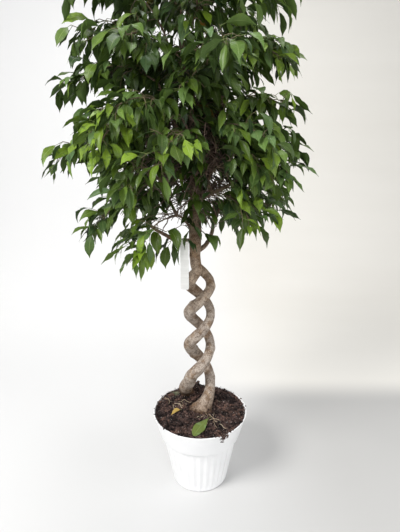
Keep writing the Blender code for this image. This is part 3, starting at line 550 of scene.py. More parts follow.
def leaf_the_twig(spray, twig, first, room, rng):
    """Alternate leaves along a twig, and one at its end."""
    length = twig.length()
    count = max(1, round((length - first) / LEAF_SPACING))
    side = rng.choice((-1, 1))
    for index in range(count + 1):
        along = first + (length - first) * index / count
        root, heading = twig.at(min(along, length - 0.003))
        side = -side
        turn = 0.0 if index == count else side * rng.uniform(*LEAF_OFF_TWIG)
        place_leaf(spray, root, heading + turn, room, rng)


# Growth of the whole head

def grow_main_twig(spray, room, rng):
    """The spray's own twig, from just beyond its limb; it bends aside where it would cross."""
    for draw in range(DRAWS):
        bend = rng.uniform(-1, 1) * (TWIG_BEND + draw / DRAWS)
        along = spray.tangent(0.0)
        points = [spray.root + along * GAP, spray.root + along * COLLAR_LENGTH]
        for step in range(1, TWIG_POINTS):
            share = step / (TWIG_POINTS - 1)
            arc = Arc(points[1], spray.heading + bend * share, spray.rise, spray.droop, spray.length)
            points.append(arc.point(share))
        radii = [mix(TWIG_RADIUS, TWIG_END_RADIUS, index / TWIG_POINTS) for index in range(TWIG_POINTS + 1)]
        shape = prism(points, radii, CLEARANCE)
        if room.is_clear(shape):
            spray.twigs.append(Twig(points, radii))
            return shape
    return None


def grow_side_twig(spray, room, rng):
    """A shorter twig on one side of the main one."""
    side = -rng.choice((-1, 1))
    root, heading = spray.twigs[0].at(spray.length * SIDE_TWIG_FROM + COLLAR_LENGTH)
    for _ in range(DRAWS):
        turned = heading + side * rng.uniform(*SIDE_TURN)
        slopes = slopes_drawn(rng, *SIDE_SLOPES)
        arc = Arc(root, turned, *slopes, SIDE_LENGTH * rng.uniform(0.8, 1.25))
        twig = Twig([root, arc.point(1.0)], list(SIDE_RADII))
        shape = prism(twig.points, twig.radii, CLEARANCE)
        if room.is_clear(shape, own=spray.name):
            spray.twigs.append(twig)
            room.add(spray.name, shape)
            return


def grow_skeleton(room):
    """Stems, limbs and bare sprays. Gives the tubes of each stem and the sprays."""
    rng = random.Random(SEED)
    tubes = {}
    nodes = []
    limbs = []

    def add_tube_of(stem, path, jointed, way):
        tubes.setdefault(stem, []).append(path)
        room.add(stem, prism(path.points, path.radii, CLEARANCE))
        nodes.extend(path_nodes(path.points[jointed:], stem, None, way))

    for half_turn, (stem, leader) in enumerate(LEADERS.items()):
        add_tube_of(stem, stem_path(half_turn, leader), -len(leader) - 1, SPIRAL_TOP)
    for stem, places in SEEN_LIMBS:
        path = Twig([above_soil(*place[:3]) for place in places], [place[3] for place in places])
        add_tube_of(stem, path, 0, places[0][2])

    tips = enumerate(spray_tips(rng))
    sprays = [spray_towards(f"spray_{index + 1:02d}", tip, rng) for index, tip in tips]
    sprays.sort(key=lambda spray: (spray.root.xy - Vector(PRESSED_AXIS)).length)
    carried = []
    for spray in sprays:
        twig_shape = grow_main_twig(spray, room, rng)
        if twig_shape and carry(spray, twig_shape, nodes, limbs, room, rng):
            room.add(spray.name, twig_shape)
            carried.append(spray)
    for limb in limbs:
        limb["tube"].radii = limb_radii(limb)
        tubes[limb["stem"]].append(limb["tube"])
    return tubes, carried


def carry(spray, twig_shape, nodes, limbs, room, rng):
    """Joins a spray to the stems by the limb with the shortest clear way down to the soil."""
    twig = BVHTree.FromPolygons(*twig_shape)

    def cost(node):
        reach = spray.root - node.point
        downward = max(0.0, -reach.normalized().z)
        return reach.length * (1 + DOWNWARD_WEIGHT * downward) + node.path * PATH_WEIGHT

    for node in sorted(nodes, key=cost)[:NEAREST_NODES]:
        for _ in range(LIMB_DRAWS):
            points = curved_limb(node, spray, rng.uniform(*LIMB_LIFT))
            radii = [LIMB_ROOM] * (len(points) - 1) + [TWIG_RADIUS]
            shape = prism(points, radii, CLEARANCE)
            bare = BVHTree.FromPolygons(*prism(points[:-1], radii[:-1], CLEARANCE))
            if bare.overlap(twig) or not room.is_clear(shape, own=node.stem):
                continue
            limbs.append({"stem": node.stem, "tube": Twig(points, radii), "parent": node.limb, "load": 1})
            parent = node.limb
            while parent is not None:
                limbs[parent]["load"] += 1
                parent = limbs[parent]["parent"]
            room.add(node.stem, shape)
            nodes += path_nodes(points[:-1], node.stem, len(limbs) - 1, node.path)
            return True
    return False


def limb_radii(limb):
    """A limb is thicker at its start, the more sprays it carries."""
    start = TWIG_RADIUS * (1.0 + LIMB_GROWTH * math.sqrt(limb["load"]))
    last = len(limb["tube"].points) - 1
    return [mix(start, TWIG_RADIUS, min(1.0, index / (last - 1))) for index in range(last + 1)]


def grow_tree():
    """The stems' tubes and the sprays with all their twigs and leaves."""
    room = Room()
    room.add("label", label_room())
    tubes, sprays = grow_skeleton(room)
    for spray in sprays:
        grow_side_twig(spray, room, random.Random(f"{SEED} {spray.name}"))
    for spray in sprays:
        rng = random.Random(f"{SEED} leaves {spray.name}")
        leaf_the_twig(spray, spray.twigs[0], spray.length * LEAVES_FROM[0], room, rng)
        for twig in spray.twigs[1:]:
            leaf_the_twig(spray, twig, LEAVES_FROM[1], room, rng)
    return tubes, sprays


def label_hanger():
    """The point of the low left limb where the label's loop goes round it."""
    places = SEEN_LIMBS[0][1]
    for before, after in zip(places, places[1:]):
        if after[0] <= LABEL_X <= before[0]:
            share = (LABEL_X - before[0]) / (after[0] - before[0])
            return above_soil(LABEL_X, mix(before[1], after[1], share), mix(before[2], after[2], share))


def label_room():
    """The space that the hanging label takes up, as vertices and faces."""
    top = label_hanger()
    half = LABEL_WIDTH / 2 + LABEL_ROOM / 3
    deep = (top.y - LABEL_LOOP - LABEL_ROOM, top.y + LABEL_LOOP + LABEL_ROOM)
    high = (top.z - LABEL_LENGTH - LABEL_ROOM, top.z + LABEL_LOOP + LABEL_ROOM)
    corners = [Vector((LABEL_X + x, y, z)) for x in (-half, half) for y in deep for z in high]
    faces = [(0, 1, 3, 2), (4, 6, 7, 5), (0, 4, 5, 1), (2, 3, 7, 6), (0, 2, 6, 4), (1, 5, 7, 3)]
    return corners, faces


def pot_inside_radius(height):
    """Radius of the pot's inner wall."""
    if height < RIB_TOP:
        return mix(BASE_RADIUS, RIB_TOP_RADIUS, height / RIB_TOP) - POT_WALL - RIB_DEPTH / 2
    share = (height - RIB_TOP) / (POT_HEIGHT - RIB_TOP)
    return mix(RIB_TOP_RADIUS - RIB_DEPTH / 2, RIM_RADIUS, share) - POT_WALL


def soil_height(radius):
    """Height of the soil's surface: a low mound that falls towards the pot."""
    share = radius / pot_inside_radius(SOIL_TOP)
    return SOIL_TOP + mix(SOIL_MOUND, SOIL_EDGE_RISE, smooth(share))


# What the looks add

# Camera: where the photograph was taken from
CAMERA_PLACE = (0.0, -0.966, 0.854)
CAMERA_PITCH = math.radians(14.3)
FRAME_HEIGHT = 36.0              # mm
FOCAL_LENGTH = 27.07             # mm

# Shoots; slopes are (first, last), each as a range in degrees
SHOOT_SPACING = 0.0135           # side shoots along a twig
SHOOT_LENGTH = (0.040, 0.085)
SHOOT_RADII = (0.0011, 0.0010, 0.0008, 0.0006)
SHOOT_TURN = (0.5, 1.3)          # how far it turns off its twig
RISING_SHOOTS = 0.5              # share of them that rises from the twig
RISING_SLOPES = ((20, 75), (-55, 10))
HANGING_SLOPES = ((-30, 25), (-88, -50))
INNER_SHOOT_SPACING = 0.013      # leafy shoots along the limbs, inside the head, in its upper part
LOW_SHOOT_SPACING = 0.050        # the same at the bottom of the head
INNER_SHOOT_LENGTH = (0.045, 0.095)
INNER_SLOPES = ((-20, 60), (-80, -30))
INNER_TURN = 1.4                 # how far they turn from straight outwards, away from the axis
AXIS_REACH = 0.08                # nearer to it they turn any way
INNER_SHOOTS_FROM = 0.70         # height above the floor where they start
LEADER_SHOOTS_FROM = 0.745       # the same for shoots on the stems themselves
CLOSE_SHOOTS_FROM = 1.00         # height from which they stand as close as they can

# Shoots that are seen low down, from the limbs, as
# (x, y, height above the soil, compass heading, rise, droop, reach)
SEEN_SHOOTS = [
    (-0.044, 0.0090, 0.470, 285, 62, -40, 0.034),
    (-0.060, 0.0105, 0.473, 250, 48, -60, 0.040),
    (0.003, 0.0330, 0.490, 310, 10, -80, 0.024),
    (-0.010, 0.0060, 0.520, 250, 30, -70, 0.040),
    (-0.008, 0.0080, 0.548, 305, 35, -65, 0.038),
    (-0.012, 0.0080, 0.560, 235, 45, -60, 0.050),
    (-0.006, 0.0080, 0.580, 272, 40, -60, 0.050),
    (-0.012, 0.0100, 0.600, 250, 20, -65, 0.055),
    (-0.004, 0.0100, 0.612, 300, 30, -65, 0.050),
    (-0.010, 0.0120, 0.630, 265, 50, -55, 0.060),
    (-0.006, 0.0120, 0.650, 225, 30, -65, 0.055),
    (-0.006, 0.0120, 0.672, 285, 30, -60, 0.060),
    (-0.008, 0.0140, 0.700, 255, 35, -60, 0.060),
]

# Places without fine leaves, where the head can be seen through: (low corner, high corner), with
# heights above the floor
SEEN_THROUGH = [
    ((-0.118, -0.250, 0.670), (-0.040, 0.150, 0.752)),
    ((0.014, -0.250, 0.770), (0.072, 0.100, 0.835)),
    ((-0.128, -0.250, 0.790), (-0.088, 0.150, 0.900)),
    ((0.014, -0.250, 0.835), (0.046, 0.100, 0.915)),
]

# Fine leaves
FINE_LEAF_SPACING = 0.0135
FINE_LEAF_LENGTH = (0.046, 0.071)
LEAF_TURN = (0.5, 1.7)           # how far it turns off its twig
FINE_LEAF_WIDTHS = (0.78, 1.06)
FINE_LEAF_SLOPES = ((-62, 38), (-112, -30))
FINE_LEAF_ROLL = 30              # degrees, to either side
LEAF_DISTANCE = 0.0095           # least distance between the middles of two leaves
EDGE_ROOM = 0.008                # how far a leaf may reach beyond the solids' box
YOUNG_SHARES = (0.04, 0.10, 0.22, 0.50)  # shares of young leaves that a spray can have
INNER_YOUNG = 0.1                # the same for shoots inside the head
YOUNG_FURTHER_IN = 0.35          # by this they are fewer away from a twig's tip
YOUNG_AT_TIP = 1.5               # and by this more at the tip itself
YELLOWING = 0.030                # share of the leaves deep in the head that are about to fall
YELLOWING_FROM = 0.96            # height above the floor
YELLOWING_REACH = 0.085          # from the head's axis
YELLOWING_TINT = (2.0, 0.5, 0.0, 1.0)
OLD_SHADED_LEAVES = (0.085, 0.205)      # from the head's centre: all leaves are old and dark, with painted shade, and none are
OLD_SHADED_LEAVES_HIGH = 0.55           # how far heights count in that distance

# Leafless twigs; heights are above the floor
BARE_TWIGS = 640
BARE_TWIG_LENGTH = (0.05, 0.15)
BARE_TWIG_SLOPES = ((-10, 70), (-80, -12))
BARE_TWIG_RADIUS = (0.0008, 0.0020)
BARE_TWIG_PARTS = 5
BARE_TWIG_STRAY = 0.0014         # how crooked they are
BARE_TWIGS_FROM = 0.66           # lowest and highest place where they leave a limb
BARE_TWIGS_TO = 0.96
BARE_TWIGS_FEW = 0.76            # they are fewer below this
BARE_TWIGS_LESS = 0.45           # by this share
BARE_TWIGS_LOWEST = 0.700        # none ends lower than this
BARE_TWIGS_REACH = 0.18          # none ends further than this from the head's axis

# Leaf blade: its half width along its length, from the petiole to the drip tip
PETIOLE_SHARE = 0.17
PETIOLE_RADIUS = 0.00062
BLADE_OUTLINE = ((0.0, 0.03), (0.09, 0.34), (0.22, 0.72), (0.38, 0.97), (0.50, 1.0), (0.65, 0.80),
                 (0.78, 0.44), (0.88, 0.17), (1.0, 0.01))
GREEN_LEAF_OUTLINE = ((0.0, 0.03), (0.08, 0.17), (0.20, 0.43), (0.36, 0.74), (0.52, 0.93), (0.66, 1.0),
                      (0.80, 0.90), (0.90, 0.66), (0.97, 0.33), (1.0, 0.05))
TOP_COLUMNS = (-1.0, -0.55, 0.0, 0.55, 1.0)
UNDER_COLUMNS = (-1.0, 0.0, 1.0)
BLADE_THICKNESS = 0.0004
BLADE_FOLDS = (0.08, 0.85)       # how steeply the halves of a blade rise from its midrib
BLADE_SWEEP = 0.06               # how far its tip can bend aside, as a share of its length
BLADE_WAVE = 0.09                # height of its waves, as a share of its width
BLADE_WAVES = (1.4, 2.6)         # how many there are

# Fallen leaves, as (rise, droop, roll in degrees, fold)
GREEN_LEAF_SHAPE = (10, -14, 6, 0.22)
YELLOW_LEAF_SHAPE = (30, -38, 18, 0.9)

# Colours of the leaves: the dark and the full green, fresh leaves, and the underside
LEAF_COLOURS = {
    "leaf": ((0.0130, 0.0310, 0.0050), (0.076, 0.130, 0.028), (0.170, 0.268, 0.020), (0.062, 0.106, 0.024)),
    "fallen_green": ((0.105, 0.150, 0.034), (0.120, 0.165, 0.040), (0.140, 0.185, 0.044),
                     (0.17, 0.25, 0.10)),
    "fallen_yellow": ((0.40, 0.25, 0.06), (0.46, 0.31, 0.10), (0.50, 0.35, 0.13), (0.50, 0.34, 0.10)),
}

# Bark
BARK_RING = 0.003                # distance between the rings of a stem's surface
BARK_SIDES = 30
KNOTS = 16
KNOT_HEIGHTS = (0.0010, 0.0024)
KNOT_REACH = 0.007               # along the stem
KNOT_WIDTH = 0.55                # as an angle
SLOW_WAVES = 0.0008
WRINKLES = 0.00018
LIMB_RING = 0.004                # distance between the rings of a limb's surface
LIMB_SIDES = 12
LIMB_WRINKLES = 0.00035
COLLAR_GAIN = 0.45               # by this share a limb is thicker where it leaves its stem
COLLAR_REACH = 0.016
ROOT_RISE = 0.021                # height over which a root runs out into its stem
SWELLING_REACH = 0.014           # along the stem

# Roots at the feet, as (compass heading in degrees, how far it stands out, how wide as an angle)
ROOTS = {
    "stem_a": [(0, 0.0110, 0.60), (180, 0.0080, 0.42), (222, -0.0030, 0.40), (270, -0.0080, 0.75)],
    "stem_b": [(0, 0.0010, 0.80), (180, -0.0080, 0.90), (270, -0.0050, 0.70)],
}

# Swollen places higher up, as (heading, how far they stand out, how wide as an angle, height over the soil)
SWELLINGS = {
    "stem_a": [],
    "stem_b": [(0, 0.0055, 0.80, 0.036), (300, 0.0020, 0.60, 0.050)],
}

# Pot
POT_COLUMNS = 8                  # for each rib
BASE_HOLLOW = 0.0016             # height of the middle of the base over the floor
RIB_FADE = (0.012, 0.010)        # heights over which a rib runs out, at its foot and at its top
RIB_FULLNESS = 0.8
WALL_TOP = POT_HEIGHT - 0.004    # where the walls end and the rounded rim begins
INSIDE_RINGS = 14
POT_EDGE = ((0.012, 0.0014), (0.007, 0.0004), (0.004, 0.0), (0.0016, 0.0004), (0.0003, 0.0016))
RIM_STEPS = 8
RIM_FLATNESS = 0.9
RIM_BAND = 0.012                 # height of the part that wavers and is pressed in
RIM_WAVER = 0.0007
RIM_WAVER_UP = 0.6               # how much of it goes up, beside what goes outwards
NICK = (0.0052, 0.045)           # its depth and its width as an angle
NICK_SIDE = (0.0012, 0.05, 0.12)  # a slighter one beside it, and how far off it is
NICK_INWARD = 0.35               # how far the nick goes in, as a share of its depth

# Rings on the outside of the pot: (lowest, highest, how many)
OUTSIDE_RINGS = (
    (0.003, 0.018, 12),
    (0.024, RIB_TOP - 0.008, 18),
    (RIB_TOP - 0.005, COLLAR_FOOT + 0.002, 14),
    (COLLAR_FOOT + 0.006, WALL_TOP, 12),
)

# Soil
SOIL_GAP = 0.0006                # between the soil's surface and the pot
SOIL_MIDDLE = 0.0005             # radius of the innermost ring
SOIL_RINGS = 64
BROAD_BUMPS = 0.0042
FINE_BUMPS = 0.0070
BUMPS_MEAN = 0.0028
FALLEN_ROOM = 0.012              # clods and chips keep this far off the fallen leaves
FALLEN_LIFT = 0.0008             # and the leaves this far off the soil's highest place under them
SOIL_COLUMNS = 220
CLODS = 600
CLOD_SIZES = ((0.0014, 0.0045), (0.0045, 0.0085))
SMALL_CLODS = 0.76               # share of the first size
CLODS_WITHIN = 0.985             # they lie within this share of the soil's radius
CHIPS = 110                      # flat bits of bark
CHIP_SIZES = (0.0022, 0.0048)
CHIPS_WITHIN = 0.93
CHIP_LIFT = 0.45                 # height of its middle over the ground, as a share of its size
RIM_CLODS = 210                  # along the rim, where the soil is heaped against it
RIM_CLOD_SIZES = (0.0012, 0.0036)
RIM_CRUMBS = 130
RIM_CRUMB_SIZES = (0.0005, 0.0018)
NICK_CRUMBS = 0.6                # share of them that lies at the nick
NICK_SPREAD = 0.10               # how widely these spread, as an angle
SPILT_CRUMBS = 70                # on the outside of the pot, under the nick
SPILT_CRUMB_SIZES = (0.0009, 0.0024)
SPILT_SPREAD = 0.055
SPILT_REACH = 0.024              # how far down they lie
FOOT_CLODS = 130                 # pressed against each foot
FOOT_CLOD_SIZES = (0.0016, 0.0036)
FOOT_HEAP = 0.009                # how high they are heaped there
FOOT_RING = (0.78, 1.30)         # where they lie, as shares of the radius of the foot's place
FOOT_FALLEN_ROOM = 0.010         # they keep this far off the fallen leaves
FOOT_PLACES = (((0.0, -0.008), 0.028), ((-0.040, 0.068), 0.023))
LUMP_ROWS = 7
LUMP_COLUMNS = 9
LUMP_ROUGHNESS = 0.55            # how far noise pushes it in and out, as a share of its size
LUMP_GRAIN = 1.7
MOSS_PLACE = (-0.072, 0.074)     # a mossy patch at the back left
MOSS_REACH = (0.007, 0.017)      # its thick middle and its edge

# Heaps of soil between the feet and behind them: (place, height, radius, clods)
HEAPS = (((0.000, 0.040), 0.016, 0.026, 70), ((-0.010, 0.099), 0.024, 0.024, 150))
HEAP_CLOD_SIZES = (0.0022, 0.0058)
PRESSED = (1.2, 0.9, 0.8)        # how a clod of a heap is squashed

# Ranges of the length, width and height of clods and chips, as shares of their sizes
CLOD_FORM = ((0.8, 1.7), (0.6, 1.0), (0.45, 0.80))
CHIP_FORM = ((1.6, 2.8), (0.6, 1.0), (0.28, 0.50))
RIM_CLOD_FORM = ((0.8, 1.5), (0.7, 1.0), (0.6, 0.9))

# Pale fibres: patches of (place, spread, how many), and loose ones all over the soil
FIBRE_PATCHES = (((0.034, -0.040), 0.020, 7), ((-0.066, 0.034), 0.022, 8))
LOOSE_FIBRES = 12
LOOSE_WITHIN = 0.9
FIBRE_POINTS = 6
FIBRE_STEPS = (0.003, 0.008)
FIBRE_RADII = (0.00040, 0.00095)
FIBRE_CURL = 0.42
FIBRE_ARCH = 0.0034              # how high it arches off the ground
FIBRE_EDGE = 0.002               # it ends this far off the pot
FIBRE_RING = 0.002
FIBRE_SIDES = 5

# Tag
TAG_THICKNESS = 0.0005
TAG_CORNER = 0.003
TAG_BOW = 0.0006

# What a material reads from a plain piece
PLAIN = (0.0, 0.0, 0.0, 1.0)


class Surface:
    """Collects sheets of points, with what the materials read from each point."""

    def __init__(self):
        self.points = []
        self.places = []
        self.tints = []
        self.faces = []
        self.slots = []
        self.count = 0

    def add_sheet(self, points, places=None, tint=PLAIN, slot=0, wrap=False, flip=False):
        """Adds a grid of rows x columns points; wrap joins the last column to the first."""
        rows, columns = points.shape[:2]
        numbers = np.arange(rows * columns).reshape(rows, columns)
        if wrap:
            numbers = np.concatenate([numbers, numbers[:, :1]], axis=1)
        corners = [numbers[:-1, :-1], numbers[:-1, 1:], numbers[1:, 1:], numbers[1:, :-1]]
        faces = np.stack(corners, axis=-1).reshape(-1, 4)
        if flip:
            faces = faces[:, ::-1]
        self.points.append(points.reshape(-1, 3))
        self.places.append((points if places is None else places).reshape(-1, 3))
        self.tints.append(np.broadcast_to(np.asarray(tint, float), (rows * columns, 4)))
        self.faces.extend((faces + self.count).tolist())
        self.slots.extend([slot] * len(faces))
        self.count += rows * columns

    def make(self, name, materials, sharp_degrees=None):
        mesh = bpy.data.meshes.new(name)
        mesh.from_pydata(np.concatenate(self.points).tolist(), [], self.faces)
        place = mesh.attributes.new("place", "FLOAT_VECTOR", "POINT")
        place.data.foreach_set("vector", np.concatenate(self.places).astype(np.float32).ravel())
        tint = mesh.attributes.new("tint", "FLOAT_COLOR", "POINT")
        tint.data.foreach_set("color", np.concatenate(self.tints).astype(np.float32).ravel())
        mesh.polygons.foreach_set("material_index", self.slots)
        for material in materials:
            mesh.materials.append(material)
        mesh.shade_smooth()
        if sharp_degrees:
            mesh.set_sharp_from_angle(angle=math.radians(sharp_degrees))
        mesh.validate()
        return show(name, mesh)


def show(name, data):
    """Puts a mesh, lamp or camera in the scene."""
    thing = bpy.data.objects.new(name, data)
    bpy.context.scene.collection.objects.link(thing)
    return thing


def ride(thing, slot, *nodes):
    """Sets a piece on the object and hides the solids that it stands for. Its finish, slot, is not used."""
    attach(thing, "root")
    if nodes:
        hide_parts(*nodes)


# Lines and tubes

def any_angle(rng):
    return rng.uniform(0, TURN)


def turn_between(angle, goal):
    """The short way round from an angle to a goal."""
    return (goal - angle + math.pi) % TURN - math.pi


def circle(count):
    return np.linspace(0, TURN, count, endpoint=False)


def polar(radius, angle, middle=(0.0, 0.0)):
    """(x, y) of the point at an angle and a distance from a middle."""
    return middle[0] + radius * math.cos(angle), middle[1] + radius * math.sin(angle)


def unit(vectors):
    return vectors / np.maximum(np.linalg.norm(vectors, axis=-1, keepdims=True), 1e-12)


def distances(points):
    """How far along a line each of its points is."""
    return np.concatenate([[0.0], np.cumsum(np.linalg.norm(np.diff(points, axis=0), axis=1))])


def smooth_line(twig, pitch):
    """Rows of (x, y, z, radius) along a smooth curve through a twig's points, about pitch apart."""
    known = np.array([(*point, radius) for point, radius in zip(twig.points, twig.radii)])
    chord = np.maximum(np.linalg.norm(np.diff(known[:, :3], axis=0), axis=1), 1e-6)
    speed = np.diff(known, axis=0) / chord[:, None]
    slope = np.empty_like(known)
    slope[0] = speed[0]
    slope[-1] = speed[-1]
    both = chord[:-1] + chord[1:]
    slope[1:-1] = (speed[:-1] * chord[1:, None] + speed[1:] * chord[:-1, None]) / both[:, None]
    rows = []
    for index, length in enumerate(chord):
        parts = max(1, round(length / pitch))
        share = (np.arange(parts) / parts)[:, None]
        here = 2 * share ** 3 - 3 * share ** 2 + 1
        there = 1 - here
        leaving = (share ** 3 - 2 * share ** 2 + share) * length
        arriving = (share ** 3 - share ** 2) * length
        rows.append(known[index] * here + known[index + 1] * there
                    + slope[index] * leaving + slope[index + 1] * arriving)
    rows.append(known[-1:])
    return np.concatenate(rows)


def line_frames(points):
    """Two directions square to a line at each of its points, turning as little as they can."""
    tangents = unit(np.gradient(points, axis=0))
    side = Vector(tangents[0]).orthogonal().normalized()
    sides = []
    for tangent in tangents:
        ahead = Vector(tangent)
        side = (side - ahead * side.dot(ahead)).normalized()
        sides.append(side)
    sides = np.array(sides)
    return sides, np.cross(tangents, sides)


def add_tube(surface, line, sides, tint, slot=0, swell=None):
    """A round tube along a line of (x, y, z, radius), with a rounded end.

    swell(along, around) gives what is added to the radius.
    """
    points = line[:, :3]
    radii = line[:, 3]
    first, second = line_frames(points)
    along = distances(points)
    around = circle(sides)
    reach = np.repeat(radii[:, None], sides, axis=1)
    if swell:
        reach = reach + swell(along, around)
    ahead = np.cos(around)[None, :]
    aside = np.sin(around)[None, :]
    out = ahead[..., None] * first[:, None, :] + aside[..., None] * second[:, None, :]
    rings = points[:, None, :] + out * reach[..., None]
    tip = points[-1] + unit(points[-1] - points[-2]) * radii[-1] * 0.8
    rings = np.concatenate([rings, np.broadcast_to(tip, (1, sides, 3))])
    along = np.append(along, along[-1] + radii[-1])
    width = np.append(radii, radii[-1])[:, None]
    places = np.stack([width * ahead, width * aside, np.repeat(along[:, None], sides, axis=1)], axis=-1)
    surface.add_sheet(rings, places, tint, slot, wrap=True, flip=True)


# Fine leaves

def add_leaf(surface, leaf, tint, rng, fold=None, outline=BLADE_OUTLINE):
    """A folded, slightly waved blade that ends in a drip tip, on a thin petiole."""
    along, width = np.array(outline).T
    shares = PETIOLE_SHARE + (1 - PETIOLE_SHARE) * along
    slope = leaf.rise + (leaf.droop - leaf.rise) * shares
    bend = leaf.droop - leaf.rise
    ahead = (np.sin(slope) - math.sin(leaf.rise)) / bend * leaf.length
    up = (math.cos(leaf.rise) - np.cos(slope)) / bend * leaf.length
    forward = np.array(horizontal(leaf.heading))
    above = np.array((0.0, 0.0, 1.0))
    root = np.array(leaf.root)
    middle = root + ahead[:, None] * forward + up[:, None] * above
    tangent = np.cos(slope)[:, None] * forward + np.sin(slope)[:, None] * above
    flat_side = np.array(horizontal(leaf.heading - math.pi / 2))
    flat_up = np.cross(flat_side, tangent)
    roll = leaf.roll + rng.uniform(-0.35, 0.35) * along ** 2
    side = flat_side * np.cos(roll)[:, None] + flat_up * np.sin(roll)[:, None]
    normal = np.cross(side, tangent)[:, None, :]

    fold = rng.uniform(*BLADE_FOLDS) if fold is None else fold
    sweep = rng.uniform(-1, 1) * BLADE_SWEEP * leaf.length
    middle = middle + side * (sweep * along ** 2)[:, None]
    half = (width * leaf.width / 2)[:, None]
    waves = rng.uniform(*BLADE_WAVES)
    phase = any_angle(rng)
    for columns, under in ((TOP_COLUMNS, 0.0), (UNDER_COLUMNS, 1.0)):
        across = np.array(columns)
        place = TURN * waves * along[:, None] + phase + across[None, :] * 1.3
        wave = BLADE_WAVE * leaf.width * np.sin(place)
        lift = half * (fold * np.abs(across) - 0.20 * across ** 2)[None, :]
        lift = lift + wave * (across ** 2)[None, :] * width[:, None]
        lift = lift - under * BLADE_THICKNESS * (1 - across ** 2)[None, :]
        reach = half * across[None, :] * math.cos(fold * 0.8)
        sheet = middle[:, None, :] + side[:, None, :] * reach[..., None] + normal * lift[..., None]
        places = np.stack(np.broadcast_arrays(across, along[:, None], under), axis=-1)
        surface.add_sheet(sheet, places, tint, flip=not under)

    stalk = np.array([root, leaf.point(PETIOLE_SHARE / 2), middle[0]])
    radii = np.array([1.15, 0.95, 0.9]) * PETIOLE_RADIUS
    add_tube(surface, np.column_stack([stalk, radii]), 3, (tint[0], tint[1], 1.0, 1.0))


def is_inside(place, low, high):
    return all(low[axis] < place[axis] < high[axis] for axis in range(3))


class Crowd:
    """Where leaves are, so that no two start in one place."""

    def __init__(self, low, high):
        self.low = low
        self.high = high
        self.cells = {}

    def admits(self, leaf):
        """Takes note of the leaf if there is room for it; False if there is none."""
        middle = leaf.point(0.55)
        if not is_inside(leaf.point(1.0), self.low, self.high):
            return False
        if any(is_inside(middle, low, high) for low, high in SEEN_THROUGH):
            return False
        x, y, z = [math.floor(value / LEAF_DISTANCE) for value in middle]
        for near in [(x + i, y + j, z + k) for i in (-1, 0, 1) for j in (-1, 0, 1) for k in (-1, 0, 1)]:
            if any((middle - other).length < LEAF_DISTANCE for other in self.cells.get(near, ())):
                return False
        self.cells.setdefault((x, y, z), []).append(middle)
        return True


def leaf_tint(rng, young):
    """(share of fresh yellow-green, chance for variation, kind, 1)."""
    fresh = rng.uniform(0.45, 1.0) if rng.random() < young else rng.uniform(0.0, 0.45) ** 1.5
    return (fresh, rng.random(), 0.0, 1.0)


def is_yellowing(root, rng):
    """True for a few leaves deep in the head, which are about to fall."""
    deep = root.z > YELLOWING_FROM and (root.xy - HEAD_CENTRE.xy).length < YELLOWING_REACH
    return deep and rng.random() < YELLOWING


def fine_leaf(root, heading, rng):
    length = rng.uniform(*FINE_LEAF_LENGTH)
    rise, droop = slopes_drawn(rng, *FINE_LEAF_SLOPES)
    roll = math.radians(rng.gauss(0, FINE_LEAF_ROLL))
    width = length * LEAF_SLIMNESS * rng.uniform(*FINE_LEAF_WIDTHS)
    return Leaf(root, heading, rise, droop, length, roll, width)


def outward(point):
    """Compass heading from the head's axis to a point."""
    return math.atan2(point.y - HEAD_CENTRE.y, point.x - HEAD_CENTRE.x)


def turned_towards(heading, goal, share):
    """The heading turned a share of the way to a goal."""
    return heading + turn_between(heading, goal) * share


def stations(twig, first, spacing, spread, rng):
    """Places on alternate sides along a twig, as (distance, point, heading there, side)."""
    length = twig.length()
    side = rng.choice((-1, 1))
    distance = first
    while distance < length:
        side = -side
        yield distance, *twig.at(distance), side
        distance += spacing * rng.uniform(*spread)


def fill_twig(surface, twig, first, crowd, rng, young):
    """Fine leaves along a twig, turned towards the outside of the head, and one at its tip."""
    length = twig.length()
    for distance, root, heading, side in stations(twig, first, FINE_LEAF_SPACING, (0.8, 1.25), rng):
        heading += side * rng.uniform(*LEAF_TURN)
        leaf = fine_leaf(root, turned_towards(heading, outward(root), rng.uniform(0.0, 0.5)), rng)
        near_tip = distance > length - 1.6 * FINE_LEAF_SPACING
        tint = leaf_tint(rng, young if near_tip else young * YOUNG_FURTHER_IN)
        if is_yellowing(root, rng):
            tint = YELLOWING_TINT
        if crowd.admits(leaf):
            add_leaf(surface, leaf, tint, rng)
    root, heading = twig.at(length - 0.001)
    leaf = fine_leaf(root, heading + rng.uniform(-0.4, 0.4), rng)
    if crowd.admits(leaf):
        add_leaf(surface, leaf, leaf_tint(rng, young * YOUNG_AT_TIP), rng)


def fill_spray(surface, spray, crowd, rng):
    """The spray's twigs and leaves made fine, with shoots and leaves between them."""
    young = rng.choice(YOUNG_SHARES)
    main = spray.twigs[0]
    for leaf in spray.leaves:
        crowd.admits(leaf)
        add_leaf(surface, leaf, leaf_tint(rng, young), rng)
    for twig in spray.twigs:
        add_tube(surface, smooth_line(twig, 0.008), 8, (0.2, rng.random(), 0.5, 1.0), slot=1)
    length = main.length()
    first = SHOOT_SPACING * rng.uniform(0.6, 1.2)
    for distance, root, heading, side in stations(main, first, SHOOT_SPACING, (0.75, 1.3), rng):
        turned = turned_towards(heading + side * rng.uniform(*SHOOT_TURN), outward(root), 0.25)
        rises = rng.random() < RISING_SHOOTS
        slopes = slopes_drawn(rng, *(RISING_SLOPES if rises else HANGING_SLOPES))
        reach = rng.uniform(*SHOOT_LENGTH) * mix(1.0, 0.55, distance / length)
        grow_shoot(surface, Arc(root, turned, *slopes, reach), crowd, rng, young)
    fill_twig(surface, main, length * 0.2, crowd, rng, young)


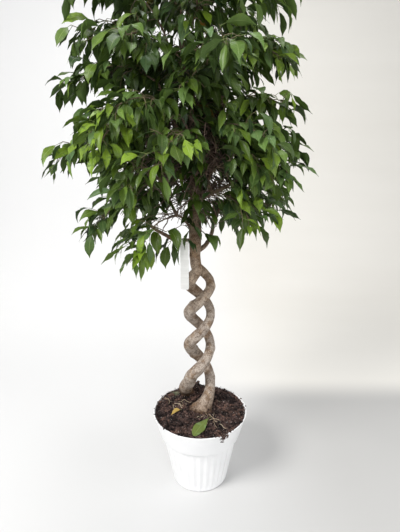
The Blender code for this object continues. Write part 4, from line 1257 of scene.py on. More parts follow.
def grow_shoot(surface, arc, crowd, rng, young=INNER_YOUNG):
    """A thin side shoot with its leaves."""
    points = [arc.root] + [arc.point(share) for share in (0.35, 0.7, 1.0)]
    shoot = Twig(points, SHOOT_RADII)
    add_tube(surface, smooth_line(shoot, 0.014), 4, (0.35, rng.random(), 0.7, 1.0), slot=1)
    fill_twig(surface, shoot, arc.length * 0.25, crowd, rng, young)


def make_foliage(sprays, crowd, materials):
    """Each spray of the solids, made fine."""
    for spray in sprays:
        surface = Surface()
        fill_spray(surface, spray, crowd, random.Random(f"{SEED} fine {spray.name}"))
        ride(surface.make(f"foliage_{spray.name[6:]}", materials), "leaf", spray.name)


def make_inner_shoots(stem, tubes, crowd, materials):
    """Leafy shoots along a stem's limbs, which close the head between the sprays."""
    rng = random.Random(f"{SEED} inner {stem}")
    surface = Surface()
    for index, limb in enumerate(tubes):
        length = limb.length()
        distance = INNER_SHOOT_SPACING * rng.uniform(0.5, 1.5)
        while distance < length - COLLAR_LENGTH:
            root, _ = limb.at(distance)
            closeness = smooth((root.z - INNER_SHOOTS_FROM) / (CLOSE_SHOOTS_FROM - INNER_SHOOTS_FROM))
            distance += mix(LOW_SHOOT_SPACING, INNER_SHOOT_SPACING, closeness) * rng.uniform(0.7, 1.3)
            if root.z < (INNER_SHOOTS_FROM if index else LEADER_SHOOTS_FROM):
                continue
            off_axis = (root.xy - HEAD_CENTRE.xy).length
            turn = mix(math.pi, INNER_TURN, smooth(off_axis / AXIS_REACH))
            heading = outward(root) + rng.uniform(-1, 1) * turn
            slopes = slopes_drawn(rng, *INNER_SLOPES)
            grow_shoot(surface, Arc(root, heading, *slopes, rng.uniform(*INNER_SHOOT_LENGTH)), crowd, rng)
    ride(surface.make(f"inner_shoots_{stem[-1]}", materials), "leaf")


def make_seen_shoots(crowd, materials):
    """Leafy shoots that hang over the tag and beside the stems in the photograph."""
    rng = random.Random(SEED + 29)
    surface = Surface()
    for x, y, height, *angles, reach in SEEN_SHOOTS:
        arc = Arc(above_soil(x, y, height), *[math.radians(angle) for angle in angles], reach)
        grow_shoot(surface, arc, crowd, rng)
    ride(surface.make("low_shoots", materials), "leaf")


def make_bare_twigs(tubes, materials):
    """Thin leafless twigs inside the head, where it can be seen through."""
    rng = random.Random(SEED + 13)
    surface = Surface()
    nodes = []
    for stem, lines in tubes.items():
        for line in lines:
            nodes += path_nodes(line.points, stem, None, 0.0)
    nodes = [node for node in nodes if BARE_TWIGS_FROM < node.point.z < BARE_TWIGS_TO
             and abs(node.point.x - HEAD_CENTRE.x) < BARE_TWIGS_REACH * 0.7]
    for _ in range(BARE_TWIGS):
        node = rng.choice(nodes)
        if node.point.z < BARE_TWIGS_FEW and rng.random() < BARE_TWIGS_LESS:
            continue
        heading = any_angle(rng)
        slopes = slopes_drawn(rng, *BARE_TWIG_SLOPES)
        arc = Arc(node.point, heading, *slopes, rng.uniform(*BARE_TWIG_LENGTH))
        points = []
        for step in range(BARE_TWIG_PARTS + 1):
            stray = Vector([rng.gauss(0, 1) for _ in range(3)]) * BARE_TWIG_STRAY
            points.append(arc.point(step / BARE_TWIG_PARTS) + stray * (step > 0))
        if points[-1].z < BARE_TWIGS_LOWEST or (points[-1].xy - HEAD_CENTRE.xy).length > BARE_TWIGS_REACH:
            continue
        radius = rng.uniform(*BARE_TWIG_RADIUS)
        radii = [mix(radius, radius * 0.5, step / BARE_TWIG_PARTS) for step in range(BARE_TWIG_PARTS + 1)]
        add_tube(surface, smooth_line(Twig(points, radii), 0.010), 4, (0.0, rng.random(), 0.0, 1.0))
    ride(surface.make("bare_twigs", materials), "bark")


# Surfaces of the stems

def heights(along, around, height_at):
    """height_at(distance, angle) for each point of a tube."""
    return np.array([[height_at(distance, angle) for angle in around] for distance in along])


def bark_swell(seed, roots, swellings):
    """Bumps of a stem's surface: slow waves, wrinkles round it, knots, roots and swollen places.

    A root is (angle round the stem, how far it stands out, how wide it is as an angle).
    """
    rng = random.Random(seed)
    knots = [(rng.uniform(0.09, 1.0), any_angle(rng), rng.uniform(*KNOT_HEIGHTS)) for _ in range(KNOTS)]

    def waves(distance, angle):
        place = horizontal(angle) * 0.013
        slow = noise.noise(Vector((place.x * 45, place.y * 45, distance * 38 + seed)))
        wrinkle = noise.noise(Vector((place.x * 90, place.y * 90, distance * 520 + seed)))
        return SLOW_WAVES * slow + WRINKLES * wrinkle

    def swell(along, around):
        grown = heights(along, around, waves)
        for distance, angle, height in knots:
            far = (along - distance) / KNOT_REACH
            turn = turn_between(angle, around)
            grown += height * np.exp(-far[:, None] ** 2 - (turn[None, :] / KNOT_WIDTH) ** 2)
        low = np.exp(-np.maximum(along - STEM_DEPTH, 0.0) / ROOT_RISE)
        bulges = [(*root, low) for root in roots]
        for *size, height in swellings:
            bulges.append((*size, np.exp(-((along - STEM_DEPTH - height) / SWELLING_REACH) ** 2)))
        for angle, reach, width, near in bulges:
            turn = turn_between(angle, around)
            grown += reach * near[:, None] * np.exp(-(turn / width) ** 2)[None, :]
        return grown
    return swell


def limb_swell(seed):
    """Slight wrinkles of a limb."""
    def wrinkle(distance, angle):
        place = Vector((math.cos(angle) * 0.6, math.sin(angle) * 0.6, distance * 110 + seed))
        return LIMB_WRINKLES * noise.noise(place)
    return lambda along, around: heights(along, around, wrinkle)


def collared(limb):
    """A limb's line, thicker where it leaves its stem."""
    line = smooth_line(limb, LIMB_RING)
    line[:, 3] *= 1 + COLLAR_GAIN * np.exp(-distances(line[:, :3]) / COLLAR_REACH)
    return line


def root_angles(trunk, roots):
    """Roots given by their compass headings, as angles round the stem's own first ring."""
    first, second = line_frames(trunk[:, :3])
    row = int(np.argmin(np.abs(trunk[:, 2] - SOIL_TOP)))
    turned = []
    for heading, *size in roots:
        goal = np.array(horizontal(math.radians(heading)))
        turned.append((math.atan2(float(second[row] @ goal), float(first[row] @ goal)), *size))
    return turned


def make_stem_surface(stem, tubes, seed, materials):
    surface = Surface()
    trunk = smooth_line(tubes[0], BARK_RING)
    swell = bark_swell(seed, root_angles(trunk, ROOTS[stem]), root_angles(trunk, SWELLINGS[stem]))
    add_tube(surface, trunk, BARK_SIDES, PLAIN, swell=swell)
    for index, limb in enumerate(tubes[1:]):
        add_tube(surface, collared(limb), LIMB_SIDES, PLAIN, swell=limb_swell(seed * 31 + index))
    ride(surface.make(f"{stem}_bark", materials), "bark", stem)


# Surface of the pot

def rib_dent(angle, height):
    """How far the pot's side is drawn in between two ribs."""
    low, high = RIB_FADE
    fade = smooth((height - RIB_FOOT * 0.4) / low) * smooth((RIB_TOP + 0.004 - height) / high)
    return RIB_DEPTH * fade * (0.5 - 0.5 * math.cos(RIB_COUNT * angle)) ** RIB_FULLNESS


def pot_outside_radius(height):
    if height < RIB_TOP:
        return mix(BASE_RADIUS, RIB_TOP_RADIUS, height / RIB_TOP)
    if height < COLLAR_FOOT:
        return mix(RIB_TOP_RADIUS, COLLAR_FOOT_RADIUS, smooth((height - RIB_TOP) / (COLLAR_FOOT - RIB_TOP)))
    return mix(COLLAR_FOOT_RADIUS, RIM_RADIUS, (height - COLLAR_FOOT) / (POT_HEIGHT - COLLAR_FOOT))


def notch_depth(angle):
    """How far the rim is pressed down and in at the nick."""
    turn = turn_between(NOTCH_ANGLE, angle)
    depth, width = NICK
    side_depth, side_width, aside = NICK_SIDE
    beside = side_depth * math.exp(-((turn + aside) / side_width) ** 2)
    return depth * math.exp(-(turn / width) ** 2) + beside


def make_pot_surface(materials):
    """Outside, rim and inside of the pot, as one skin."""
    rows = [(0.0, BASE_HOLLOW)] + [(BASE_RADIUS - inward, height) for inward, height in POT_EDGE]
    outside = np.concatenate([np.linspace(*rings) for rings in OUTSIDE_RINGS])
    ribbed = range(len(rows) - 2, len(rows) + len(outside))
    rows += [(pot_outside_radius(height), height) for height in outside]
    half = POT_WALL / 2
    lift = half * RIM_FLATNESS
    for step in range(RIM_STEPS + 1):
        angle = math.pi * step / RIM_STEPS
        height = POT_HEIGHT - lift + lift * math.sin(angle)
        rows.append((RIM_RADIUS - half + half * math.cos(angle), height))
    inside = np.linspace(WALL_TOP, POT_FLOOR, INSIDE_RINGS)
    rows += [(pot_inside_radius(height), height) for height in inside]
    rows.append((0.0, POT_FLOOR))
    points = np.zeros((len(rows), RIB_COUNT * POT_COLUMNS, 3))
    for row, (radius, height) in enumerate(rows):
        near_rim = smooth((height - (POT_HEIGHT - RIM_BAND)) / 0.010)
        for column, angle in enumerate(circle(RIB_COUNT * POT_COLUMNS)):
            reach = radius - (rib_dent(angle, height) if row in ribbed else 0.0)
            waver = RIM_WAVER * near_rim * noise.noise(Vector((*polar(2.2, angle), 3.1)))
            sunk = notch_depth(angle) * near_rim
            reach += waver - sunk * NICK_INWARD
            points[row, column] = (*polar(reach, angle), height - sunk + waver * RIM_WAVER_UP)
    surface = Surface()
    surface.add_sheet(points, wrap=True)
    ride(surface.make("pot_shell", materials, 60), "pot", "pot")


# Surface of the soil

def soil_bumps(x, y):
    """Fine height of the soil's surface over its mean."""
    place = Vector((x, y, 0.0))
    broad = noise.fractal(place * 38, 0.9, 2.1, 4)
    lumpy = abs(noise.fractal(place * 95 + Vector((7, 3, 1)), 0.8, 2.0, 4))
    return BROAD_BUMPS * broad + FINE_BUMPS * lumpy - BUMPS_MEAN


def ground(x, y):
    return soil_height(math.hypot(x, y)) + soil_bumps(x, y)


def under_leaf(x, y, margin):
    """True within a margin of a line along which a fallen leaf lies."""
    for start, end in ((GREEN_LEAF_FROM, GREEN_LEAF_TO), (YELLOW_LEAF_FROM, YELLOW_LEAF_TO)):
        along = Vector(end) - Vector(start)
        share = (Vector((x, y)) - Vector(start)).dot(along) / along.length_squared
        nearest = Vector(start) + along * min(1.0, max(0.0, share))
        if (Vector((x, y)) - nearest).length < margin:
            return True
    return False


def drawn(rng, ranges):
    """A number out of each range."""
    return tuple(rng.uniform(*span) for span in ranges)


def clod_tint(rng):
    """(share of red-brown bark, chance for variation, kind, 1)."""
    return (rng.random() ** 2, rng.random(), 0.0, 1.0)


def lump(surface, centre, size, squash, tint, rng):
    """One rough clod: a ball pushed in and out by noise."""
    seed = Vector((rng.uniform(0, 90), 0, 0))
    turn = Quaternion((0, 0, 1), rng.uniform(0, math.pi))
    points = np.zeros((LUMP_ROWS, LUMP_COLUMNS, 3))
    for row in range(LUMP_ROWS):
        tilt = math.pi * row / (LUMP_ROWS - 1)
        for column in range(LUMP_COLUMNS):
            angle = TURN * column / LUMP_COLUMNS
            out = Vector((*polar(math.sin(tilt), angle), math.cos(tilt)))
            reach = size * (1 + LUMP_ROUGHNESS * noise.noise(out * LUMP_GRAIN + seed))
            local = Vector([part * reach * share for part, share in zip(out, squash)])
            local.rotate(turn)
            points[row, column] = Vector(centre) + local
    surface.add_sheet(points, tint=tint, wrap=True, flip=True)


def add_clods(surface, rng, edge):
    """Clods of two sizes, all over the soil."""
    for _ in range(CLODS):
        x, y = polar(edge * math.sqrt(rng.random()) * CLODS_WITHIN, any_angle(rng))
        size = rng.uniform(*CLOD_SIZES[rng.random() >= SMALL_CLODS])
        if under_leaf(x, y, FALLEN_ROOM + size):
            continue
        centre = (x, y, ground(x, y) + size * rng.uniform(-0.1, 0.30))
        lump(surface, centre, size, drawn(rng, CLOD_FORM), clod_tint(rng), rng)


def add_chips(surface, rng, edge):
    """Flat bits of bark."""
    for _ in range(CHIPS):
        x, y = polar(edge * math.sqrt(rng.random()) * CHIPS_WITHIN, any_angle(rng))
        size = rng.uniform(*CHIP_SIZES)
        if under_leaf(x, y, FALLEN_ROOM + size):
            continue
        squash = drawn(rng, CHIP_FORM)
        tint = (rng.uniform(0.5, 1.0), rng.random(), 0.0, 1.0)
        lump(surface, (x, y, ground(x, y) + size * CHIP_LIFT), size, squash, tint, rng)


def add_rim_clods(surface, rng, edge):
    """The soil that is heaped against the rim."""
    for _ in range(RIM_CLODS):
        angle = any_angle(rng)
        size = rng.uniform(*RIM_CLOD_SIZES)
        flat = polar(edge - size * rng.uniform(0.2, 1.3), angle)
        height = POT_HEIGHT - size * rng.uniform(0.3, 1.1)
        lump(surface, (*flat, height), size, drawn(rng, RIM_CLOD_FORM), clod_tint(rng), rng)


def add_heaps(surface, rng, edge):
    """Heaps of clods between the feet and behind them."""
    for place, height, radius, count in HEAPS:
        for _ in range(count):
            angle = any_angle(rng)
            far = rng.random() ** 0.7
            x, y = polar(radius * far, angle, place)
            size = rng.uniform(*HEAP_CLOD_SIZES)
            if math.hypot(x, y) > edge - size:
                continue
            top = height * (1 - far) * mix(0.4, 1.0, rng.random())
            lump(surface, (x, y, ground(x, y) + top), size, PRESSED, clod_tint(rng), rng)


def add_foot_clods(surface, rng):
    """Clods pressed against the feet of the stems."""
    for place, radius in FOOT_PLACES:
        for _ in range(FOOT_CLODS):
            angle = any_angle(rng)
            share = rng.uniform(0.0, 1.0)
            x, y = polar(radius * mix(*FOOT_RING, share), angle, place)
            if under_leaf(x, y, FOOT_FALLEN_ROOM):
                continue
            size = rng.uniform(*FOOT_CLOD_SIZES)
            height = ground(x, y) + size * 0.4 + FOOT_HEAP * (1 - share) * rng.random()
            lump(surface, (x, y, height), size, PRESSED, clod_tint(rng), rng)


def add_fibres(surface, rng, edge):
    """Thin pale roots and fibres that lie curled on the soil."""
    patches = [*FIBRE_PATCHES, ((0.0, 0.0), edge * LOOSE_WITHIN, LOOSE_FIBRES)]
    for (middle_x, middle_y), spread, count in patches:
        for _ in range(count):
            x = middle_x + rng.uniform(-1, 1) * spread
            y = middle_y + rng.uniform(-1, 1) * spread
            heading = any_angle(rng)
            curl = rng.uniform(-FIBRE_CURL, FIBRE_CURL)
            step = rng.uniform(*FIBRE_STEPS)
            radius = rng.uniform(*FIBRE_RADII)
            points = []
            for index in range(FIBRE_POINTS):
                if math.hypot(x, y) > edge - FIBRE_EDGE:
                    break
                arch = FIBRE_ARCH * math.sin(index * 0.6) ** 2
                points.append(Vector((x, y, ground(x, y) + radius + arch)))
                heading += curl * rng.uniform(0.2, 1.0)
                x, y = polar(step, heading, (x, y))
            if len(points) > 3:
                line = smooth_line(Twig(points, [radius] * len(points)), FIBRE_RING)
                add_tube(surface, line, FIBRE_SIDES, (rng.uniform(0.3, 1.0), rng.random(), 1.0, 1.0))


def add_crumbs(surface, rng):
    """Crumbs on the rim, most of them at the nick, and spilt ones below it."""
    for _ in range(RIM_CRUMBS):
        at_nick = rng.random() < NICK_CRUMBS
        angle = NOTCH_ANGLE + rng.gauss(0, NICK_SPREAD) if at_nick else any_angle(rng)
        flat = polar(RIM_RADIUS - POT_WALL * rng.uniform(0.1, 1.4), angle)
        size = rng.uniform(*RIM_CRUMB_SIZES)
        height = POT_HEIGHT - notch_depth(angle) + size * 0.3
        lump(surface, (*flat, height), size, (1.2, 1.0, 0.8), (rng.random(), rng.random(), 0.0, 1.0), rng)
    for _ in range(SPILT_CRUMBS):
        share = rng.random() ** 1.6
        angle = NOTCH_ANGLE + rng.gauss(0, SPILT_SPREAD) * (1 - 0.6 * share)
        height = POT_HEIGHT - notch_depth(NOTCH_ANGLE) * 0.6 - SPILT_REACH * share
        size = rng.uniform(*SPILT_CRUMB_SIZES) * (1 - 0.5 * share)
        flat = polar(pot_outside_radius(height) + size * 0.25, angle)
        lump(surface, (*flat, height), size, (1.1, 1.0, 0.9), clod_tint(rng), rng)


def make_soil_surface(materials):
    """Lumpy compost with clods, bark chips and fibres, heaped up to the rim."""
    rng = random.Random(SEED + 5)
    surface = Surface()
    edge = pot_inside_radius(SOIL_TOP) - SOIL_GAP
    around = circle(SOIL_COLUMNS)

    def ring(radius, height=None):
        """Points round the axis, on the ground where no height is given."""
        flat = [polar(radius, angle) for angle in around]
        return [(x, y, ground(x, y) if height is None else height) for x, y in flat]

    bottom = POT_FLOOR + 0.001
    rows = [ring(radius) for radius in (SOIL_MIDDLE, *np.linspace(0.003, edge, SOIL_RINGS))]
    for height in (SOIL_TOP - 0.012, RIB_TOP, bottom):
        rows.append(ring(pot_inside_radius(height) - SOIL_GAP, height))
    rows.append(ring(SOIL_MIDDLE, bottom))
    surface.add_sheet(np.array(rows), wrap=True)
    add_clods(surface, rng, edge)
    add_chips(surface, rng, edge)
    add_rim_clods(surface, rng, edge)
    add_heaps(surface, rng, edge)
    add_foot_clods(surface, rng)
    add_fibres(surface, rng, edge)
    add_crumbs(surface, rng)
    ride(surface.make("compost", materials), "soil", "soil")


# Tag and fallen leaves

def make_label_surface(materials):
    """A blank strip looped round the low left limb, with rounded corners and a slight bow."""
    centre = label_hanger()
    path = [polar(LABEL_LOOP, math.pi - LABEL_BEND * (1 - step / 32)) for step in range(33)]
    drop = np.linspace(0.0, LABEL_LENGTH, 46)[1:]
    path += [(-LABEL_LOOP - 0.0012 * math.sin(math.pi * value / LABEL_LENGTH), -value) for value in drop]
    path = np.array(path)
    tangents = unit(np.gradient(path, axis=0))
    inward = np.stack([-tangents[:, 1], tangents[:, 0]], axis=1) * TAG_THICKNESS
    left = LABEL_LENGTH + path[:, 1]
    round_off = TAG_CORNER - np.sqrt(np.maximum(TAG_CORNER ** 2 - (TAG_CORNER - left) ** 2, 0))
    half = LABEL_WIDTH / 2 - np.where(left < TAG_CORNER, round_off, 0.0)
    across = np.linspace(-1, 1, 9)
    ring = np.concatenate([across, across[::-1]])
    deep = np.repeat([0.0, 1.0], 9)[None, :]
    bow = TAG_BOW * (1 - ring ** 2)
    rows = np.zeros((len(path), 18, 3))
    rows[..., 0] = centre.x + half[:, None] * ring[None, :]
    rows[..., 1] = centre.y + path[:, :1] + inward[:, :1] * deep - bow[None, :] * (path[:, 1:] < 0)
    rows[..., 2] = centre.z + path[:, 1:] + inward[:, 1:] * deep
    surface = Surface()
    surface.add_sheet(rows, wrap=True)
    ride(surface.make("tag", materials, 50), "label", "label")


def make_fallen_surface(name, colour, start, end, width, shape, material, outline):
    """A leaf that lies on the soil, from start to end."""
    node = f"fallen_leaf_{colour}"
    rng = random.Random(node)
    ahead = (Vector((*end, 0.0)) - Vector((*start, 0.0))) / (1 - PETIOLE_SHARE)
    foot = Vector((*end, 0.0)) - ahead
    steps = [foot + ahead * (index / 8) for index in range(9)]
    foot.z = max(ground(step.x, step.y) for step in steps) + FALLEN_LIFT
    rise, droop, roll = [math.radians(angle) for angle in shape[:3]]
    leaf = Leaf(foot, math.atan2(ahead.y, ahead.x), rise, droop, ahead.length, roll, width)
    surface = Surface()
    add_leaf(surface, leaf, (0.5, rng.random(), 0.0, 1.0), rng, shape[3], outline)
    ride(surface.make(name, [material]), f"fallen_{colour}", node)


# Materials

class Shader:
    """A material under construction. A colour is three numbers, or comes from another node."""

    def __init__(self, name, **sockets):
        self.material = bpy.data.materials.new(name)
        self.material.use_nodes = True
        self.tree = self.material.node_tree
        self.surface = self.tree.nodes["Principled BSDF"]
        for socket, value in sockets.items():
            self.surface.inputs[socket.replace("_", " ")].default_value = value

    def feed(self, socket, value):
        if isinstance(value, bpy.types.NodeSocket):
            self.tree.links.new(value, socket)
        else:
            socket.default_value = (*value, 1) if socket.type == "RGBA" else value

    def node(self, kind, output, inputs, **settings):
        """Adds a node, and gives one of its outputs."""
        made = self.tree.nodes.new("ShaderNode" + kind)
        for key, value in settings.items():
            setattr(made, key, value)
        for socket, value in inputs.items():
            self.feed(made.inputs[socket], value)
        return made.outputs[output]

    def attribute(self, name):
        return self.node("Attribute", "Vector", {}, attribute_name=name)

    def position(self):
        return self.node("TexCoord", "Object", {})

    def parts(self, vector):
        """The three numbers of a vector."""
        split = self.tree.nodes.new("ShaderNodeSeparateXYZ")
        self.feed(split.inputs[0], vector)
        return tuple(split.outputs)

    def stretched(self, vector, scale):
        return self.node("Mapping", "Vector", {"Vector": vector, "Scale": scale})

    def distance(self, first, second):
        return self.node("VectorMath", "Value", {0: first, 1: second}, operation="DISTANCE")

    def noise(self, vector, scale, detail=4.0, roughness=0.6, distortion=0.0):
        return self.node("TexNoise", "Fac", {
            "Vector": vector, "Scale": scale, "Detail": detail, "Roughness": roughness,
            "Distortion": distortion,
        })

    def cells(self, vector, scale):
        return self.node("TexVoronoi", "Distance", {"Vector": vector, "Scale": scale})

    def maths(self, operation, *values, clamp=False):
        return self.node("Math", 0, dict(enumerate(values)), operation=operation, use_clamp=clamp)

    def times(self, value, factor):
        return self.maths("MULTIPLY", value, factor)

    def times_plus(self, value, factor, more):
        return self.maths("MULTIPLY_ADD", value, factor, more)

    def between(self, value, low, high, start=0.0, end=1.0):
        """The value's place between low and high, eased, as a number from start to end."""
        inputs = dict(enumerate((value, low, high, start, end)))
        return self.node("MapRange", 0, inputs, interpolation_type="SMOOTHSTEP")

    def blend(self, share, first, second, kind="MIX"):
        return self.node("Mix", 2, {0: share, 6: first, 7: second}, data_type="RGBA", blend_type=kind)

    def layered(self, colour, layers, kind="MIX"):
        """The colour with layers of (share, colour) over it, one after another."""
        for share, layer in layers:
            colour = self.blend(share, colour, layer, kind)
        return colour

    def finish(self, colour, roughness, *relief):
        """Connects colour, roughness and a relief of (height, distance, strength)."""
        self.feed(self.surface.inputs["Base Color"], colour)
        self.feed(self.surface.inputs["Roughness"], roughness)
        if relief:
            inputs = dict(zip(("Height", "Distance", "Strength"), relief))
            self.feed(self.surface.inputs["Normal"], self.node("Bump", "Normal", inputs))
        return self.material


def leaf_material(name, coat=0.0, shaded_in_the_head=False):
    """Waxy blade with a midrib, fine side veins and a paler underside.

    Fresh leaves are yellower, and the old ones inside the head are darker, partly by age and partly by
    painted shade.
    """
    make = Shader(name, Coat_Weight=coat, Coat_Roughness=0.30, Specular_IOR_Level=0.27)
    dark, full, fresh, under = LEAF_COLOURS[name]
    across, along, underside = make.parts(make.attribute("place"))
    youth, chance, kind = make.parts(make.attribute("tint"))
    mottle = make.noise(make.position(), 95.0, 5.0, 0.65)
    out = make.maths("ABSOLUTE", across)
    lean = make.times_plus(out, -1.9, make.times(along, 15.0))
    vein = make.between(make.maths("PINGPONG", lean, 0.5), 0.0, 0.13, 1.0, 0.0)
    rib = make.between(out, 0.015, 0.085, 1.0, 0.0)
    second = make.maths("FRACT", make.times(chance, 7.31))
    hue = make.blend(second, (1.02, 1.0, 0.25), (0.90, 1.0, 1.90))
    mature = make.blend(make.between(chance, 0.0, 1.0), dark, full)
    mature = make.blend(1.0, mature, hue, "MULTIPLY")
    colour = make.blend(youth, mature, fresh)
    colour = make.blend(make.between(youth, 1.2, 1.8), colour, (0.210, 0.105, 0.014))
    mottling = make.blend(mottle, (0.72, 0.74, 0.70), (1.26, 1.24, 1.28))
    colour = make.blend(1.0, colour, mottling, "MULTIPLY")
    pale = make.blend(0.42, colour, (0.30, 0.38, 0.14))
    colour = make.layered(colour, [
        (make.times(vein, 0.30), pale),
        (make.times(rib, 0.75), pale),
        (make.times(underside, 0.62), under),
        (make.times(kind, 0.85), (0.135, 0.175, 0.045)),
    ])
    # Deep in the head the leaves are darker: partly their age, partly painted shade of the leaves round
    # them
    if shaded_in_the_head:
        place = make.stretched(make.position(), (1.0, 1.0, OLD_SHADED_LEAVES_HIGH))
        far = make.distance(place, (*HEAD_CENTRE.xy, HEAD_CENTRE.z * OLD_SHADED_LEAVES_HIGH))
        age = make.between(far, *OLD_SHADED_LEAVES, 1.0, 0.0)
        colour = make.blend(age, colour, (0.52, 0.56, 0.46), "MULTIPLY")
    roughness = make.times_plus(underside, 0.22, make.between(mottle, 0.25, 0.75, 0.28, 0.44))
    relief = make.times_plus(vein, -0.35, make.times_plus(rib, -1.0, make.times(mottle, 0.5)))
    return make.finish(colour, roughness, relief, 0.00035, 0.7)


def twig_material():
    """Thin twigs: greenish brown when young, grey brown further in."""
    make = Shader("twig", Specular_IOR_Level=0.35)
    age = make.parts(make.attribute("tint"))[0]
    grain = make.noise(make.stretched(make.attribute("place"), (1.0, 1.0, 0.35)), 900.0, 3.0)
    old = make.blend(grain, (0.070, 0.044, 0.032), (0.175, 0.122, 0.090))
    young = make.blend(grain, (0.105, 0.095, 0.040), (0.190, 0.165, 0.080))
    colour = make.blend(make.maths("MULTIPLY", age, 1.6, clamp=True), old, young)
    return make.finish(colour, make.between(grain, 0.2, 0.8, 0.55, 0.75), grain, 0.0004, 0.6)


def bark_material():
    """Smooth grey-brown bark with pale patches, rings of wrinkles and darker breathing pores.

    It is weathered in patches. Painted shade darkens its far side and, with some darker brown of its own,
    its upper part in the head; at the soil it is darker by a stain, partly painted shade.
    """
    make = Shader("bark", Specular_IOR_Level=0.30)
    place = make.attribute("place")
    position = make.position()
    _, back, rise = make.parts(position)
    patches = make.noise(place, 85.0, 7.0, 0.70, 0.3)
    rings = make.noise(make.stretched(place, (60.0, 60.0, 430.0)), 1.0, 4.0, 0.6)
    fine = make.noise(place, 900.0, 4.0, 0.7)
    grit = make.noise(place, 420.0, 3.0, 0.6)
    spots = make.cells(make.stretched(place, (190.0, 190.0, 420.0)), 1.0)
    scatter = make.between(make.noise(place, 130.0, 2.0), 0.50, 0.60)
    pores = make.times(make.between(spots, 0.16, 0.30, 1.0, 0.0), scatter)
    weather = make.noise(position, 34.0, 4.0, 0.62)
    # Height, ragged by the patches, for the soil stain and the painted shade at the feet
    soil_stain_and_shade = make.times_plus(make.between(patches, 0.30, 0.70), 0.012, rise)
    colour = make.blend(make.between(patches, 0.34, 0.60), (0.190, 0.145, 0.112), (0.448, 0.382, 0.322))
    colour = make.layered(colour, [
        (make.between(rings, 0.54, 0.72, 0.0, 0.45), (0.115, 0.082, 0.060)),
        (make.between(fine, 0.50, 0.75, 0.0, 0.60), (0.640, 0.580, 0.510)),
        (make.between(grit, 0.53, 0.64, 0.0, 0.85), (0.095, 0.060, 0.045)),
        (make.times(pores, 0.75), (0.075, 0.052, 0.040)),
    ])
    colour = make.layered(colour, [
        (make.between(weather, 0.48, 0.60, 0.0, 0.85), (0.62, 0.50, 0.38)),
        # painted shade on the far side of the stems
        (make.between(back, 0.038, 0.056), (0.78, 0.70, 0.62)),
        # darker higher up, in and under the head: painted shade, and partly the stems' own darker brown
        # there
        (make.between(rise, 0.44, 0.60), (0.88, 0.80, 0.69)),
        (make.between(rise, 0.58, 0.70), (0.50, 0.46, 0.41)),
        # darker at the soil: a soil stain, its darkest band also painted shade
        (make.between(soil_stain_and_shade, 0.215, 0.275, 0.8, 0.0), (0.66, 0.55, 0.45)),
        (make.between(soil_stain_and_shade, 0.208, 0.236, 1.0, 0.0), (0.36, 0.28, 0.22)),
    ], "MULTIPLY")
    relief = make.times_plus(pores, 0.6, make.times_plus(rings, 0.9, make.times(fine, 0.35)))
    return make.finish(colour, make.between(fine, 0.3, 0.7, 0.62, 0.86), relief, 0.0011, 0.75)


def soil_material():
    """Moist compost: near black, with red-brown bark, pale specks and fibres, and moss in one place."""
    make = Shader("compost", Specular_IOR_Level=0.18)
    share, _, kind = make.parts(make.attribute("tint"))
    place = make.position()
    coarse = make.noise(place, 130.0, 6.0, 0.7)
    fine = make.noise(place, 900.0, 5.0, 0.75)
    regions = make.between(make.noise(place, 42.0, 3.0, 0.5), 0.38, 0.60)
    grain = make.between(make.noise(place, 330.0, 4.0, 0.7), 0.36, 0.64)
    scatter = make.between(make.noise(place, 150.0, 2.0), 0.52, 0.60)
    specks = make.times(make.between(make.cells(place, 185.0), 0.16, 0.30, 0.80, 0.0), scatter)
    ragged = make.times_plus(coarse, 0.016, make.distance(place, (*MOSS_PLACE, SOIL_TOP)))
    moss = make.between(ragged, MOSS_REACH[0] + 0.008, MOSS_REACH[1] + 0.008, 0.8, 0.0)
    colour = make.blend(make.between(coarse, 0.38, 0.66), (0.008, 0.0055, 0.0055), (0.074, 0.052, 0.045))
    colour = make.blend(make.times(share, 0.65), colour, (0.110, 0.068, 0.050))
    colour = make.layered(colour, [
        (1.0, make.blend(regions, (0.30, 0.30, 0.33), (1.50, 1.42, 1.40))),
        (1.0, make.blend(grain, (0.28, 0.26, 0.28), (1.90, 1.80, 1.82))),
    ], "MULTIPLY")
    colour = make.layered(colour, [
        (make.between(fine, 0.54, 0.80, 0.0, 0.6), (0.190, 0.140, 0.108)),
        (specks, (0.400, 0.350, 0.315)),
        (moss, make.blend(fine, (0.050, 0.065, 0.032), (0.300, 0.345, 0.215))),
        (kind, make.blend(share, (0.20, 0.13, 0.08), (0.48, 0.40, 0.29))),
    ])
    return make.finish(colour, make.between(fine, 0.3, 0.7, 0.70, 0.95), fine, 0.0012, 0.9)


def pot_material():
    """White moulded plastic with a faint orange-peel skin, and a little dust at the rim."""
    make = Shader("white_plastic", Specular_IOR_Level=0.5, Coat_Weight=0.05)
    place = make.position()
    skin = make.noise(place, 420.0, 3.0, 0.5)
    cloud = make.noise(place, 16.0, 4.0, 0.55)
    dust = make.between(make.noise(place, 240.0, 6.0, 0.75), 0.56, 0.74)
    rim = make.between(make.parts(place)[2], POT_HEIGHT - RIM_BAND, POT_HEIGHT)
    colour = make.blend(make.between(cloud, 0.35, 0.70), (0.825, 0.827, 0.831), (0.865, 0.866, 0.868))
    colour = make.blend(make.times(make.times(rim, dust), 0.55), colour, (0.22, 0.16, 0.12))
    scuffs = make.noise(make.stretched(place, (1.0, 1.0, 0.15)), 260.0, 3.0, 0.7)
    return make.finish(colour, make.between(scuffs, 0.30, 0.75, 0.30, 0.48), skin, 0.00025, 0.35)


def label_material():
    """Blank white card with a faint fibre grain and soft creases."""
    make = Shader("card", Specular_IOR_Level=0.45)
    place = make.position()
    grain = make.noise(place, 1300.0, 3.0, 0.6)
    crease = make.noise(make.stretched(place, (6.0, 1.0, 45.0)), 2.0, 3.0, 0.6, 0.8)
    colour = make.blend(make.between(crease, 0.35, 0.65), (0.84, 0.832, 0.80), (0.92, 0.912, 0.88))
    relief = make.times_plus(crease, 2.0, make.times(grain, 0.2))
    return make.finish(colour, make.between(grain, 0.3, 0.7, 0.42, 0.58), relief, 0.0004, 0.6)


